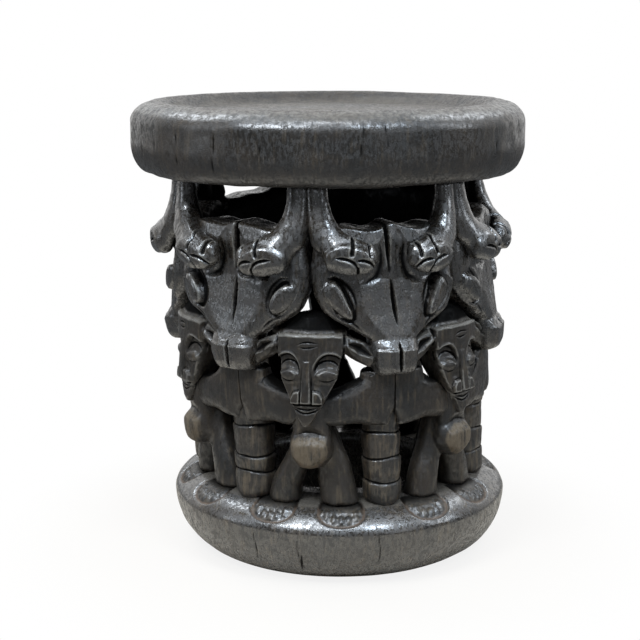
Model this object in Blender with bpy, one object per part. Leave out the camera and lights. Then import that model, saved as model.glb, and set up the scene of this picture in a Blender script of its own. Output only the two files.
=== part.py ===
"""Carved round stool: a dished seat and a heavy base ring joined by an openwork drum.

The drum repeats one bay six times. In each bay a horned beast head carries the seat on its two horns and
rests its muzzle on the raised forearms of two neighbouring figures. A ringed post under the elbows carries
the load down to the base, and each figure stands between two posts with its feet on the base.
Lengths are in metres, angles in degrees, +Z is up and the front faces -Y.
"""

import math

import bmesh
import bpy
from mathutils import Matrix, Vector

# Clearance between neighbouring pieces
GAP = 0.0003
# Open groove between neighbouring beasts
BEAST_GROOVE = 0.0024

# Stool as a whole
STOOL_HEIGHT = 0.460
LEAN = 0.0150
WALL_RADIUS = 0.165

# Places round the log, spaced by eye: beast heads, the grooves where their horns meet, figures and posts
BEAST_ANGLES = (20.5, 76.0, 145.0, 209.0, 266.0, 324.0)
GROOVE_ANGLES = (-7.8, 45.5, 110.0, 184.5, 237.0, 294.0)
FIGURE_ANGLES = (-10.0, 47.5, 110.0, 180.0, 237.0, 294.0)
POST_ANGLES = (17.5, 76.0, 145.0, 209.0, 266.0, 322.0)

# Seat
SEAT_RADIUS = 0.200
SEAT_THICKNESS = 0.069
SEAT_TOP_ROUND_WIDTH = 0.027
SEAT_TOP_ROUND_HEIGHT = 0.019
SEAT_LOWER_ROUND_WIDTH = 0.018
SEAT_LOWER_ROUND_HEIGHT = 0.030
DISH_DEPTH = 0.011
DISH_WALL_WIDTH = 0.012

# Base ring
BASE_RADIUS = 0.1747
BASE_HEIGHT = 0.079
BASE_BELLY_HEIGHT = 0.056
BASE_FOOT_RADIUS = 0.128
BASE_HOLE_RADIUS = 0.098
BASE_SHOULDER_WIDTH = 0.036

# Ringed posts
POST_RADIUS = 0.0202
POST_SETBACK = 0.031
POST_RING_DEPTH = 0.0022
POST_RING_SHARES = (0.0, 0.235, 0.46, 0.715, 1.0)

# Beast heads
HEAD_HEIGHT = 0.137
HEAD_DEPTH = 0.050
HEAD_PROUD = 0.0075
# How much taller each head stands than the first
CROWN_RISES = (0.0, 0.0, 0.016, 0.003, 0.0, 0.0)
EYE_WIDTH = 0.022
EYE_LENGTH = 0.040
EYE_THICKNESS = 0.018
EYE_OFFSET = 0.057
EYE_RISE = 0.074
EYE_PROUD = 0.0045
EYE_TILT = 30.0

# Horns, each with the scalloped ear at its root
HORN_RISE = 0.041
HORN_WIDTH = 0.026
HORN_DEPTH = 0.028
HORN_DROP = 0.020

# Figures
FACE_HEIGHT = 0.089
FACE_WIDTH = 0.073
FACE_DEPTH = 0.042
FACE_PROUD = 0.003
CHIN_DROP = 0.007
NOSE_RISE = 0.059
NOSE_LENGTH = 0.036
NOSE_WIDTH = 0.013
NOSE_PROUD = 0.005
EAR_DROP = 0.020
CROWN_LENGTH = 0.124
CROWN_THICKNESS = 0.018
CROWN_DEPTH = 0.038
CROWN_SETBACK = 0.006
HUMP_WIDTH = 0.074
HUMP_DEPTH = 0.038
HUMP_RISE = 0.020
FOREARM_RISE = 0.044
FOREARM_WIDTH = 0.029
ARM_DEPTH = 0.032
ARM_SETBACK = 0.017
ARM_SAG = 0.013
TORSO_WIDTH = 0.040
TORSO_DEPTH = 0.026
BELLY_RADIUS = 0.0210
BELLY_DROP = 0.031
BELLY_PROUD = 0.007
LEG_WIDTH = 0.031
LEG_DEPTH = 0.027
LEG_SPREAD = 0.037
LEG_SETBACK = 0.030

# Finish: colour and roughness of the patinated wood on each kind of piece
SEAT_FINISH = ((0.020, 0.018, 0.017), 0.38)
BASE_FINISH = ((0.022, 0.020, 0.018), 0.42)
BEAST_FINISH = ((0.022, 0.020, 0.019), 0.34)
HORN_FINISH = ((0.026, 0.023, 0.020), 0.36)
FIGURE_FINISH = ((0.030, 0.025, 0.020), 0.42)
POST_FINISH = ((0.036, 0.030, 0.023), 0.44)

# Levels and lengths that follow from the sizes above
SEAT_UNDERSIDE = STOOL_HEIGHT - SEAT_THICKNESS
HEAD_TOP = SEAT_UNDERSIDE - HORN_RISE
MUZZLE_LEVEL = HEAD_TOP - HEAD_HEIGHT
ELBOW_LEVEL = MUZZLE_LEVEL - FOREARM_RISE
HEAD_FRONT = WALL_RADIUS + HEAD_PROUD
FACE_FRONT = WALL_RADIUS + FACE_PROUD
CHIN_LEVEL = ELBOW_LEVEL - CHIN_DROP
FACE_TOP = CHIN_LEVEL + FACE_HEIGHT
ARM_RADIUS = WALL_RADIUS - ARM_SETBACK
HALF_BAY = WALL_RADIUS * math.pi / len(BEAST_ANGLES)
HIP_LEVEL = ELBOW_LEVEL - BELLY_DROP / 2
TURN_STEPS = 36
ROUND_STEPS = 4
WELD = GAP / 10
FLAT_ANGLE = math.radians(1.0)

# Beast head sections: share of height, of half width, set-back of the front and of the back
HEAD_ROWS = (
    (0.00, 0.26, 0.06, 0.74),
    (0.05, 0.28, 0.00, 0.78),
    (0.19, 0.30, 0.00, 0.80),
    (0.24, 0.31, 0.10, 0.82),
    (0.32, 0.57, 0.09, 0.90),
    (0.43, 0.86, 0.06, 1.00),
    (0.55, 0.97, 0.03, 1.00),
    (0.72, 1.00, 0.00, 1.00),
    (0.90, 0.96, 0.06, 1.00),
    (1.00, 0.84, 0.20, 0.95),
)
# Horn stations: share of half bay, of rise, of head depth set back, and of half width and half depth
HORN_ROWS = (
    (0.20, 0.03, 0.05, 0.65, 0.55),
    (0.32, -0.02, 0.02, 1.10, 0.85),
    (0.48, 0.00, 0.06, 1.34, 1.05),
    (0.65, 0.06, 0.13, 1.38, 1.15),
    (0.785, 0.24, 0.22, 1.22, 1.00),
    (0.85, 0.46, 0.26, 0.94, 0.76),
    (0.88, 0.74, 0.28, 0.76, 0.56),
    (0.885, 1.00, 0.29, 0.72, 0.50),
)
# Figure face sections: share of height, of half width, set-back of the front and of the back
FACE_ROWS = (
    (0.00, 0.10, 0.05, 0.34),
    (0.08, 0.24, 0.02, 0.46),
    (0.28, 0.52, 0.00, 0.72),
    (0.52, 0.82, 0.00, 1.00),
    (0.82, 0.96, 0.00, 1.00),
    (1.00, 0.95, 0.03, 1.00),
)
# Crown and ear stations from the middle out: share of half length, of ear drop, of half thickness and depth
CROWN_ROWS = (
    (0.30, 0.00, 1.00, 1.00),
    (0.60, 0.12, 1.00, 0.80),
    (0.85, 0.45, 1.18, 0.58),
    (1.05, 0.78, 1.12, 0.45),
)
# Arm stations: share of half bay, of the rise from chest to muzzle, of half width and half depth
ARM_ROWS = (
    (0.12, 0.01, 1.00, 0.80),
    (0.34, 0.05, 1.16, 0.95),
    (0.60, 0.20, 1.32, 1.05),
    (0.76, 0.42, 1.28, 1.05),
    (0.81, 0.72, 1.06, 1.00),
    (0.81, 1.00, 1.04, 0.95),
)
# Leg stations: share of spread, of the drop from hip to base, of half width and half depth
LEG_ROWS = (
    (0.30, 0.00, 0.90, 0.80),
    (0.52, 0.35, 1.00, 0.95),
    (0.86, 0.75, 1.26, 1.10),
    (1.00, 1.10, 1.50, 1.15),
)


def lean(height):
    """Sideways drift of the log's middle: the drum leans a little from its base to its seat."""
    return LEAN * (1 - height / STOOL_HEIGHT)


class Bay:
    """One repeat of the drum: its middle angle, the half angles to its neighbours and its extra height."""

    def __init__(self, angle, left, right, rise=0.0):
        self.rise = rise
        self.angle = math.radians(angle)
        self.left = math.radians(left)
        self.right = math.radians(right)

    def angle_at(self, along):
        """Angle of a place measured along the wall from the bay's middle."""
        half = self.right if along > 0 else self.left
        return self.angle + half * along / HALF_BAY

    def point(self, along, radius, height):
        """World position of a place on the unrolled wall."""
        angle = self.angle_at(along)
        return Vector((lean(height) + radius * math.sin(angle), -radius * math.cos(angle), height))


def bays_between(middles, edges, rises):
    """Bays with the given middles and rises, each reaching to the edge before it and the edge after it."""
    bays = []
    for index, (middle, rise) in enumerate(zip(middles, rises)):
        left = (middle - edges[index]) % 360
        right = (edges[(index + 1) % len(edges)] - middle) % 360
        bays.append(Bay(middle, left, right, rise))
    return bays


def remove_scene_objects():
    """Start from an empty scene."""
    for item in list(bpy.data.objects):
        bpy.data.objects.remove(item)


def wood(name, finish):
    """Patinated wood material."""
    colour, roughness = finish
    material = bpy.data.materials.new(name)
    material.use_nodes = True
    shader = material.node_tree.nodes["Principled BSDF"]
    shader.inputs["Base Color"].default_value = (*colour, 1.0)
    shader.inputs["Roughness"].default_value = roughness
    shader.inputs["Metallic"].default_value = 0.0
    return material


def make_object(name, mesh_builder, material=None):
    """Turn a finished bmesh into a named object with outward, triangular faces."""
    bmesh.ops.recalc_face_normals(mesh_builder, faces=mesh_builder.faces)
    bmesh.ops.triangulate(mesh_builder, faces=mesh_builder.faces, quad_method="FIXED")
    mesh = bpy.data.meshes.new(name)
    mesh_builder.to_mesh(mesh)
    mesh_builder.free()
    item = bpy.data.objects.new(name, mesh)
    bpy.context.scene.collection.objects.link(item)
    if material:
        mesh.materials.append(material)
    return item


def combine(body, tool, operation):
    """Join the tool to the body, or cut it away, and drop the tool."""
    modifier = body.modifiers.new("Combine", "BOOLEAN")
    modifier.object = tool
    modifier.operation = operation
    modifier.solver = "EXACT"
    evaluated = body.evaluated_get(bpy.context.evaluated_depsgraph_get())
    mesh = bpy.data.meshes.new_from_object(evaluated)
    body.modifiers.clear()
    body.data = mesh
    bpy.data.objects.remove(tool)


def finish(item):
    """Clear the slivers that cutting leaves, and shade smooth with the carved edges sharp."""
    mesh_builder = bmesh.new()
    mesh_builder.from_mesh(item.data)
    bmesh.ops.remove_doubles(mesh_builder, verts=mesh_builder.verts, dist=WELD)
    bmesh.ops.dissolve_degenerate(mesh_builder, edges=mesh_builder.edges, dist=WELD)
    bmesh.ops.dissolve_limit(
        mesh_builder, angle_limit=FLAT_ANGLE, verts=mesh_builder.verts, edges=mesh_builder.edges
    )
    bmesh.ops.triangulate(mesh_builder, faces=mesh_builder.faces)
    mesh_builder.to_mesh(item.data)
    mesh_builder.free()
    item.data.shade_smooth()
    item.data.set_sharp_from_angle(angle=math.radians(35))


def arc(centre, half_width, half_height, start, end):
    """Profile points (radius, height) on a quarter of an ellipse."""
    points = []
    for step in range(ROUND_STEPS + 1):
        angle = math.radians(start + (end - start) * step / ROUND_STEPS)
        points.append((centre[0] + half_width * math.cos(angle), centre[1] + half_height * math.sin(angle)))
    return points


def turned(name, profile, middle, closed, material=None):
    """Solid of revolution about the upright axis through middle, from (radius, height) points."""
    mesh_builder = bmesh.new()
    verts = [mesh_builder.verts.new((radius, 0, height)) for radius, height in profile]
    edges = [mesh_builder.edges.new(pair) for pair in zip(verts, verts[1:])]
    if closed:
        edges.append(mesh_builder.edges.new((verts[-1], verts[0])))
    bmesh.ops.spin(
        mesh_builder,
        geom=verts + edges,
        axis=(0, 0, 1),
        cent=(0, 0, 0),
        angle=2 * math.pi,
        steps=TURN_STEPS,
        use_merge=True,
    )
    bmesh.ops.remove_doubles(mesh_builder, verts=mesh_builder.verts, dist=WELD)
    bmesh.ops.translate(mesh_builder, verts=mesh_builder.verts, vec=(middle, 0, 0))
    return make_object(name, mesh_builder, material)


def rounded(value, power):
    """Signed power that squares off a circle's cosine or sine."""
    return math.copysign(abs(value) ** (2 / power), value)


def limb(name, bay, stations, sides, power, material=None, grow=0.0):
    """Solid swept through stations on the unrolled wall, grown all round by a clearance for cutting.

    A station is (along, height, radius, half_width, half_depth). The half width lies across the run in the
    plane of the wall, and the half depth points through the wall.
    """
    mesh_builder = bmesh.new()
    loops = []
    last = len(stations) - 1
    for index, (along, height, radius, half_width, half_depth) in enumerate(stations):
        before = stations[max(index - 1, 0)]
        after = stations[min(index + 1, last)]
        run = Vector((after[0] - before[0], after[1] - before[1])).normalized()
        reach = run * grow * ((index == last) - (index == 0))
        verts = []
        for side in range(sides):
            turn = 2 * math.pi * (side + 0.5) / sides
            across = (half_width + grow) * rounded(math.cos(turn), power)
            through = (half_depth + grow) * rounded(math.sin(turn), power)
            place = bay.point(
                along + reach.x + across * run.y,
                radius + through,
                height + reach.y - across * run.x,
            )
            verts.append(mesh_builder.verts.new(place))
        edges = [mesh_builder.edges.new((verts[side - 1], verts[side])) for side in range(sides)]
        loops.append((verts, edges))
    for (_, edges), (_, next_edges) in zip(loops, loops[1:]):
        bmesh.ops.bridge_loops(mesh_builder, edges=edges + next_edges)
    for verts, _ in (loops[0], loops[-1]):
        mesh_builder.faces.new(verts)
    return make_object(name, mesh_builder, material)


def ball(name, bay, along, height, radius, half_sizes, sides, tilt=0.0):
    """Ellipsoid on the wall: half sizes along, through and up, tilted in the plane of the wall."""
    angle = bay.angle_at(along)
    place = Matrix.Translation(bay.point(along, radius, height))
    facing = Matrix.Rotation(angle, 4, "Z") @ Matrix.Rotation(math.radians(tilt), 4, "Y")
    matrix = place @ facing @ Matrix.Diagonal((*half_sizes, 1.0))
    mesh_builder = bmesh.new()
    bmesh.ops.create_uvsphere(mesh_builder, u_segments=sides, v_segments=5, radius=1.0, matrix=matrix)
    return make_object(name, mesh_builder)


def build_seat(material):
    """Thick dished disc with a generously rounded rim."""
    crest_radius = SEAT_RADIUS - SEAT_TOP_ROUND_WIDTH
    top_centre = (crest_radius, STOOL_HEIGHT - SEAT_TOP_ROUND_HEIGHT)
    lower_centre = (SEAT_RADIUS - SEAT_LOWER_ROUND_WIDTH, SEAT_UNDERSIDE + SEAT_LOWER_ROUND_HEIGHT)
    dish_radius = crest_radius - DISH_WALL_WIDTH
    dish_level = STOOL_HEIGHT - DISH_DEPTH
    profile = [(0.0, dish_level), (dish_radius / 2, dish_level)]
    profile += arc((dish_radius, STOOL_HEIGHT), DISH_WALL_WIDTH, DISH_DEPTH, 270, 360)[:-1]
    profile += arc(top_centre, SEAT_TOP_ROUND_WIDTH, SEAT_TOP_ROUND_HEIGHT, 90, 0)
    profile += arc(lower_centre, SEAT_LOWER_ROUND_WIDTH, SEAT_LOWER_ROUND_HEIGHT, 0, -90)
    profile.append((0.0, SEAT_UNDERSIDE))
    return turned("seat", profile, lean(STOOL_HEIGHT), False, material)


def build_base(name, material=None, rise=0.0):
    """Heavy cushion-shaped ring, open in the middle like the hollowed log."""
    belly = (BASE_FOOT_RADIUS, BASE_BELLY_HEIGHT)
    shoulder = (BASE_RADIUS - BASE_SHOULDER_WIDTH, BASE_BELLY_HEIGHT)
    profile = arc(belly, BASE_RADIUS - BASE_FOOT_RADIUS, BASE_BELLY_HEIGHT, -90, 0)[:-1]
    profile += arc(shoulder, BASE_SHOULDER_WIDTH, BASE_HEIGHT - BASE_BELLY_HEIGHT, 0, 90)
    profile += [(BASE_HOLE_RADIUS, BASE_HEIGHT), (BASE_HOLE_RADIUS, 0.0)]
    raised = [(radius, height + rise) for radius, height in profile]
    return turned(name, raised, lean(BASE_BELLY_HEIGHT), True, material)


def upright_stations(rows, foot, height, half_width, front, depth):
    """Stations one above another from rows of shares."""
    stations = []
    for rise, width, near, far in rows:
        radius = front - depth * (near + far) / 2
        stations.append((0.0, foot + height * rise, radius, half_width * width, depth * (far - near) / 2))
    return stations


def head_block(name, bay, material=None, grow=0.0):
    """Beast head without its eyes: broad cheeks narrowing to a square muzzle."""
    half_width = HALF_BAY - BEAST_GROOVE / 2
    foot = MUZZLE_LEVEL + GAP
    height = HEAD_HEIGHT - GAP + bay.rise
    stations = upright_stations(HEAD_ROWS, foot, height, half_width, HEAD_FRONT, HEAD_DEPTH)
    return limb(name, bay, stations, 12, 3.4, material, grow)


def torso(name, bay, material=None, grow=0.0):
    """Figure's trunk, from the hips up to behind the chin."""
    half_sizes = (TORSO_WIDTH / 2, TORSO_DEPTH / 2)
    stations = (
        (0.0, HIP_LEVEL - BELLY_RADIUS, ARM_RADIUS, *half_sizes),
        (0.0, ELBOW_LEVEL + FOREARM_RISE / 2, ARM_RADIUS, *half_sizes),
    )
    return limb(name, bay, stations, 8, 2.6, material, grow)


def arm(name, bay, side, material=None, grow=0.0):
    """Arm that runs out from the chest to the elbow and up to the muzzle beside its neighbour."""
    elbow_half = FOREARM_WIDTH / 2 * ARM_ROWS[2][2]
    chest = ELBOW_LEVEL + elbow_half - ARM_SAG
    stations = []
    for along, up, width, depth in ARM_ROWS:
        half_sizes = (FOREARM_WIDTH / 2 * width, ARM_DEPTH / 2 * depth)
        height = chest + (MUZZLE_LEVEL - chest) * up
        stations.append((side * HALF_BAY * along, height, ARM_RADIUS, *half_sizes))
    return limb(name, bay, stations, 8, 2.8, material, grow)


def build_beast_head(name, bay, material):
    """Beast head with a raised, slanting eye on each cheek."""
    head = head_block(name, bay, material)
    half_sizes = (EYE_WIDTH / 2, EYE_THICKNESS / 2, EYE_LENGTH / 2)
    radius = HEAD_FRONT + EYE_PROUD - EYE_THICKNESS / 2
    for side in (-1, 1):
        place = (side * EYE_OFFSET, MUZZLE_LEVEL + EYE_RISE, radius)
        combine(head, ball("eye", bay, *place, half_sizes, 8, side * EYE_TILT), "UNION")
    return head


def build_horn(name, bay, side, material):
    """Horn that rises to the seat, with a broad ear curling in over the brow at its root."""
    root = HEAD_TOP - HORN_DROP
    rise = SEAT_UNDERSIDE - GAP - root
    stations = []
    for along, up, back, width, depth in HORN_ROWS:
        radius = HEAD_FRONT - HEAD_DEPTH * back
        half_sizes = (HORN_WIDTH / 2 * width, HORN_DEPTH / 2 * depth)
        stations.append((side * HALF_BAY * along, root + rise * up, radius, *half_sizes))
    horn = limb(name, bay, stations, 8, 2.4, material)
    combine(horn, head_block("head_clearance", bay, grow=GAP), "DIFFERENCE")
    return horn


def build_figure_body(name, bay, material):
    """Torso, round belly and spread legs standing on the base."""
    body = torso(name, bay, material)
    belly = (0.0, ELBOW_LEVEL - BELLY_DROP, WALL_RADIUS + BELLY_PROUD - BELLY_RADIUS)
    combine(body, ball("belly", bay, *belly, (BELLY_RADIUS, BELLY_RADIUS, BELLY_RADIUS), 8), "UNION")
    for side in (-1, 1):
        stations = []
        for out, drop, width, depth in LEG_ROWS:
            half_sizes = (LEG_WIDTH / 2 * width, LEG_DEPTH / 2 * depth)
            height = HIP_LEVEL - (HIP_LEVEL - BASE_HEIGHT) * drop
            stations.append((side * LEG_SPREAD * out, height, WALL_RADIUS - LEG_SETBACK, *half_sizes))
        combine(body, limb("leg", bay, stations, 8, 2.2), "UNION")
    combine(body, build_base("base_clearance", rise=GAP), "DIFFERENCE")
    return body


def build_arm(name, bay, side, material):
    """Arm cut to seat against the torso."""
    item = arm(name, bay, side, material)
    combine(item, torso("torso_clearance", bay, grow=GAP), "DIFFERENCE")
    return item


def crown_and_ears(bay):
    """Crown that swells behind the forehead and runs out into a drooping leaf ear on each side."""
    half = []
    for out, down, width, depth in CROWN_ROWS:
        half_depth = CROWN_DEPTH / 2 * depth
        height = FACE_TOP - CROWN_THICKNESS / 2 - EAR_DROP * down
        radius = FACE_FRONT - CROWN_SETBACK - half_depth
        half.append((CROWN_LENGTH / 2 * out, height, radius, CROWN_THICKNESS / 2 * width, half_depth))
    mirrored = [(-along, *rest) for along, *rest in reversed(half)]
    crown = limb("crown", bay, mirrored + half, 6, 2.4)
    hump = (0.0, FACE_TOP - CROWN_THICKNESS / 2, FACE_FRONT - FACE_DEPTH + HUMP_DEPTH / 2)
    half_sizes = (HUMP_WIDTH / 2, HUMP_DEPTH / 2, CROWN_THICKNESS / 2 + HUMP_RISE)
    combine(crown, ball("hump", bay, *hump, half_sizes, 8), "UNION")
    return crown


def build_figure_head(name, bay, left_beast, right_beast, material):
    """Shield-shaped face with a long nose, and leaf ears tucked under the muzzles on both sides."""
    stations = upright_stations(FACE_ROWS, CHIN_LEVEL, FACE_HEIGHT, FACE_WIDTH / 2, FACE_FRONT, FACE_DEPTH)
    head = limb(name, bay, stations, 10, 3.0, material)
    combine(head, crown_and_ears(bay), "UNION")
    nose_top = CHIN_LEVEL + NOSE_RISE
    nose_root = (0.0, nose_top, FACE_FRONT - NOSE_PROUD, NOSE_WIDTH / 6, NOSE_PROUD)
    nose_tip = (0.0, nose_top - NOSE_LENGTH, FACE_FRONT, NOSE_WIDTH / 2, NOSE_PROUD)
    combine(head, limb("nose", bay, (nose_root, nose_tip), 6, 2.0), "UNION")
    combine(head, torso("torso_clearance", bay, grow=GAP), "DIFFERENCE")
    for side, beast in ((-1, left_beast), (1, right_beast)):
        combine(head, arm("arm_clearance", bay, side, grow=GAP), "DIFFERENCE")
        combine(head, head_block("head_clearance", beast, grow=GAP), "DIFFERENCE")
    return head


def build_post(name, bay, left_figure, right_figure, material):
    """Round post cut into stacked rings, from the base up to the elbows that it carries."""
    foot = BASE_HEIGHT - POST_RING_DEPTH
    height = ELBOW_LEVEL + FOREARM_RISE / 3 - foot
    radius = WALL_RADIUS - POST_SETBACK
    waist = POST_RADIUS - POST_RING_DEPTH
    stations = []
    for low, high in zip(POST_RING_SHARES, POST_RING_SHARES[1:]):
        for share, half in ((0.02, waist), (0.25, POST_RADIUS), (0.98, POST_RADIUS)):
            level = foot + height * (low + (high - low) * share)
            stations.append((0.0, level, radius, half * WALL_RADIUS / radius, half))
    post = limb(name, bay, stations, 9, 2.0, material)
    combine(post, arm("arm_clearance", left_figure, 1, grow=GAP), "DIFFERENCE")
    combine(post, arm("arm_clearance", right_figure, -1, grow=GAP), "DIFFERENCE")
    combine(post, build_base("base_clearance", rise=GAP), "DIFFERENCE")
    return post


def build_stool():
    """All the pieces: the turned seat and base, then the six bays between them."""
    remove_scene_objects()
    beast_wood = wood("beast_wood", BEAST_FINISH)
    horn_wood = wood("horn_wood", HORN_FINISH)
    figure_wood = wood("figure_wood", FIGURE_FINISH)
    post_wood = wood("post_wood", POST_FINISH)
    pieces = [
        build_seat(wood("seat_wood", SEAT_FINISH)),
        build_base("base", wood("base_wood", BASE_FINISH)),
    ]
    level = [0.0] * len(BEAST_ANGLES)
    beasts = bays_between(BEAST_ANGLES, GROOVE_ANGLES, CROWN_RISES)
    posts = bays_between(POST_ANGLES, GROOVE_ANGLES, level)
    figures = bays_between(FIGURE_ANGLES, BEAST_ANGLES[-1:] + BEAST_ANGLES[:-1], level)
    for index, (beast, post, figure) in enumerate(zip(beasts, posts, figures)):
        number = index + 1
        next_figure = figures[number % len(figures)]
        pieces += [
            build_beast_head(f"beast_head_{number}", beast, beast_wood),
            build_horn(f"horn_left_{number}", beast, -1, horn_wood),
            build_horn(f"horn_right_{number}", beast, 1, horn_wood),
            build_post(f"ringed_post_{number}", post, figure, next_figure, post_wood),
            build_figure_head(f"figure_head_{number}", figure, beasts[index - 1], beast, figure_wood),
            build_figure_body(f"figure_body_{number}", figure, figure_wood),
            build_arm(f"figure_arm_left_{number}", figure, -1, figure_wood),
            build_arm(f"figure_arm_right_{number}", figure, 1, figure_wood),
        ]
    for item in pieces:
        finish(item)


build_stool()
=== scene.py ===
"""Looks of the carved stool: every form of the log with its fine carving, patina, dust and wear, and with
painted highlight and painted shade in its colours.

Each carved form starts as a copy of its plain solid, is worked over in the unrolled coordinates of its bay
(along the wall, out from the log's middle, and up), and then replaces that solid.
"""

import math

import bmesh
import bpy
import numpy as np
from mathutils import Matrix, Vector


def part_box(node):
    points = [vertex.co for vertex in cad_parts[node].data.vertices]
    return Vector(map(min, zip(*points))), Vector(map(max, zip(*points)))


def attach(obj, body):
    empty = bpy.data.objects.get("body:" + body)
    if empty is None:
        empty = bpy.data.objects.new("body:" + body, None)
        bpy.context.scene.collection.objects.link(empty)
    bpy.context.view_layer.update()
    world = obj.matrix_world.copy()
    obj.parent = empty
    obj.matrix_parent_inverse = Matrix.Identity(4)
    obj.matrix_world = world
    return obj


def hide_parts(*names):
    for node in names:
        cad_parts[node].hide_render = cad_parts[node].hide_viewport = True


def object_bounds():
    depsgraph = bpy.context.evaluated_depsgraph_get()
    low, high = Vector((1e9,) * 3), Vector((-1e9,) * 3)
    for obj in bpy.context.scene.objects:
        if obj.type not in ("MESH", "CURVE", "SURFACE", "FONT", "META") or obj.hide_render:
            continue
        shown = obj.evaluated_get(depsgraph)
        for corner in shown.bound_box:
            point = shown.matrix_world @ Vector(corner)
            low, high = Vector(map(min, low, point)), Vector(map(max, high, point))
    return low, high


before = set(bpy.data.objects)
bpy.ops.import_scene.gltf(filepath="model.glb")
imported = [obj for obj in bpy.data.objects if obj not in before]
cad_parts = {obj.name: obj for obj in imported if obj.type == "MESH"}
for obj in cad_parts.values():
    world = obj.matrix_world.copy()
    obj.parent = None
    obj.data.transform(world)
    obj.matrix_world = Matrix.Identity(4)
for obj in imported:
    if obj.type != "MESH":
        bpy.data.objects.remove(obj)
CAD_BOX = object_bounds()

bl_info = {
    "name": "Carved Openwork Stool",
    "version": (1, 0, 0),
    "blender": (4, 5, 0),
    "location": "View3D > Sidebar > Stool",
    "description": "Carves and finishes the pieces of a round stool cut from one log",
    "category": "Object",
}

MM = 0.001
BAYS = 6

# The log: its drift from base to seat, its wall, and the places round it in degrees
STOOL_HEIGHT = CAD_BOX[1].z
LEAN = 15 * MM
WALL_RADIUS = 165 * MM
HALF_BAY = WALL_RADIUS * math.pi / BAYS
BEAST_ANGLES = (20.5, 76.0, 145.0, 209.0, 266.0, 324.0)
GROOVE_ANGLES = (-7.8, 45.5, 110.0, 184.5, 237.0, 294.0)
FIGURE_ANGLES = (-10.0, 47.5, 110.0, 180.0, 237.0, 294.0)
POST_ANGLES = (17.5, 76.0, 145.0, 209.0, 266.0, 322.0)

# Feet of the heads, read from the plain solids, and how far heads and faces stand out
MUZZLE_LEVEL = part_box("beast_head_1")[0].z
HEAD_FRONT = WALL_RADIUS + 7.5 * MM
CHIN_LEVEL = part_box("figure_head_1")[0].z
FACE_FRONT = WALL_RADIUS + 3 * MM

# Grain of the skins: its share up to a turn from the front in degrees, and for each kind of piece
FINENESS = ((60, 0.8), (100, 1.1), (180, 1.5))
HORN_GRAIN = 0.9
FACE_GRAIN = 0.88
BODY_GRAIN = 1.1
POST_GRAIN = 1.2
MERGE_DISTANCE = 0.01 * MM

# Bend of a surface at which edge wear with painted highlight and hollows with painted shade begin, how fast
# they grow, and where dust lies
WEAR_AND_HIGHLIGHT_FROM, WEAR_AND_HIGHLIGHT_GAIN = 0.09, 3.6
HOLLOW_FROM, HOLLOW_GAIN = 0.04, 3.2
DUSTY_SLOPE, DUST_SHARE = 0.62, 0.3


def lean(height):
    """Sideways drift of the log's middle at a height."""
    return LEAN * (1 - height / STOOL_HEIGHT)


# Wall coordinates


class Wall:
    """One bay of the drum unrolled flat."""

    def __init__(self, middle, left, right):
        self.middle = math.radians(middle)
        self.left = math.radians(left % 360)
        self.right = math.radians(right % 360)

    def unroll(self, points):
        """Along the wall from the bay's middle, out from the log's middle, and up."""
        x = points[:, 0] - lean(points[:, 2])
        turn = np.arctan2(x, -points[:, 1]) - self.middle
        turn = (turn + math.pi) % (2 * math.pi) - math.pi
        half = np.where(turn > 0, self.right, self.left)
        return turn / half * HALF_BAY, np.hypot(x, points[:, 1]), points[:, 2]

    def roll(self, along, radius, height):
        """World positions of places on the unrolled wall."""
        angle = self.middle + np.where(along > 0, self.right, self.left) * along / HALF_BAY
        return np.column_stack((lean(height) + radius * np.sin(angle), -radius * np.cos(angle), height))


def walls(middles, edges):
    """Bays with the given middles, each reaching to the edge before it and the edge after it."""
    bays = []
    for index, middle in enumerate(middles):
        bays.append(Wall(middle, middle - edges[index], edges[(index + 1) % BAYS] - middle))
    return bays


BEASTS = walls(BEAST_ANGLES, GROOVE_ANGLES)
FIGURES = walls(FIGURE_ANGLES, BEAST_ANGLES[-1:] + BEAST_ANGLES[:-1])


def half_turn(angle):
    """Angle in degrees brought between -180 and 180."""
    return (angle + 180) % 360 - 180


def fineness(angle):
    """Share of the grain to work in: finer at the front of the stool than at its back."""
    turn = abs(half_turn(angle))
    return next(share for reach, share in FINENESS if turn <= reach)


# Strokes and outlines on the unrolled wall


def step(value):
    """Smooth rise from 0 to 1."""
    value = np.clip(value, 0, 1)
    return value * value * (3 - 2 * value)


def curve(points, closed=False, steps=6):
    """Smooth line through a few points."""
    points = np.array(points, float)
    count = len(points)
    spans = count if closed else count - 1
    line = []
    for index in range(spans):
        if closed:
            before, start, end, after = (points[(index + shift) % count] for shift in (-1, 0, 1, 2))
        else:
            before, start = points[max(index - 1, 0)], points[index]
            end, after = points[index + 1], points[min(index + 2, count - 1)]
        for share in np.arange(steps) / steps:
            bend = (end - before) * share + (2 * before - 5 * start + 4 * end - after) * share**2
            line.append(start + (bend + (3 * start - before - 3 * end + after) * share**3) / 2)
    if not closed:
        line.append(points[-1])
    return np.array(line)


def distance_to(line, along, height):
    """Distance of each place from a line, and how far along the line its nearest point lies."""
    lengths = np.linalg.norm(np.diff(line, axis=0), axis=1)
    whole = lengths.sum()
    done = 0.0
    nearest = np.full(len(along), np.inf)
    share = np.zeros(len(along))
    for start, end, length in zip(line, line[1:], lengths):
        if length == 0:
            continue
        run = (end - start) / length
        reach = np.clip((along - start[0]) * run[0] + (height - start[1]) * run[1], 0, length)
        gap = np.hypot(along - start[0] - reach * run[0], height - start[1] - reach * run[1])
        closer = gap < nearest
        nearest[closer] = gap[closer]
        share[closer] = (done + reach[closer]) / whole
        done += length
    return nearest, share


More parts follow.
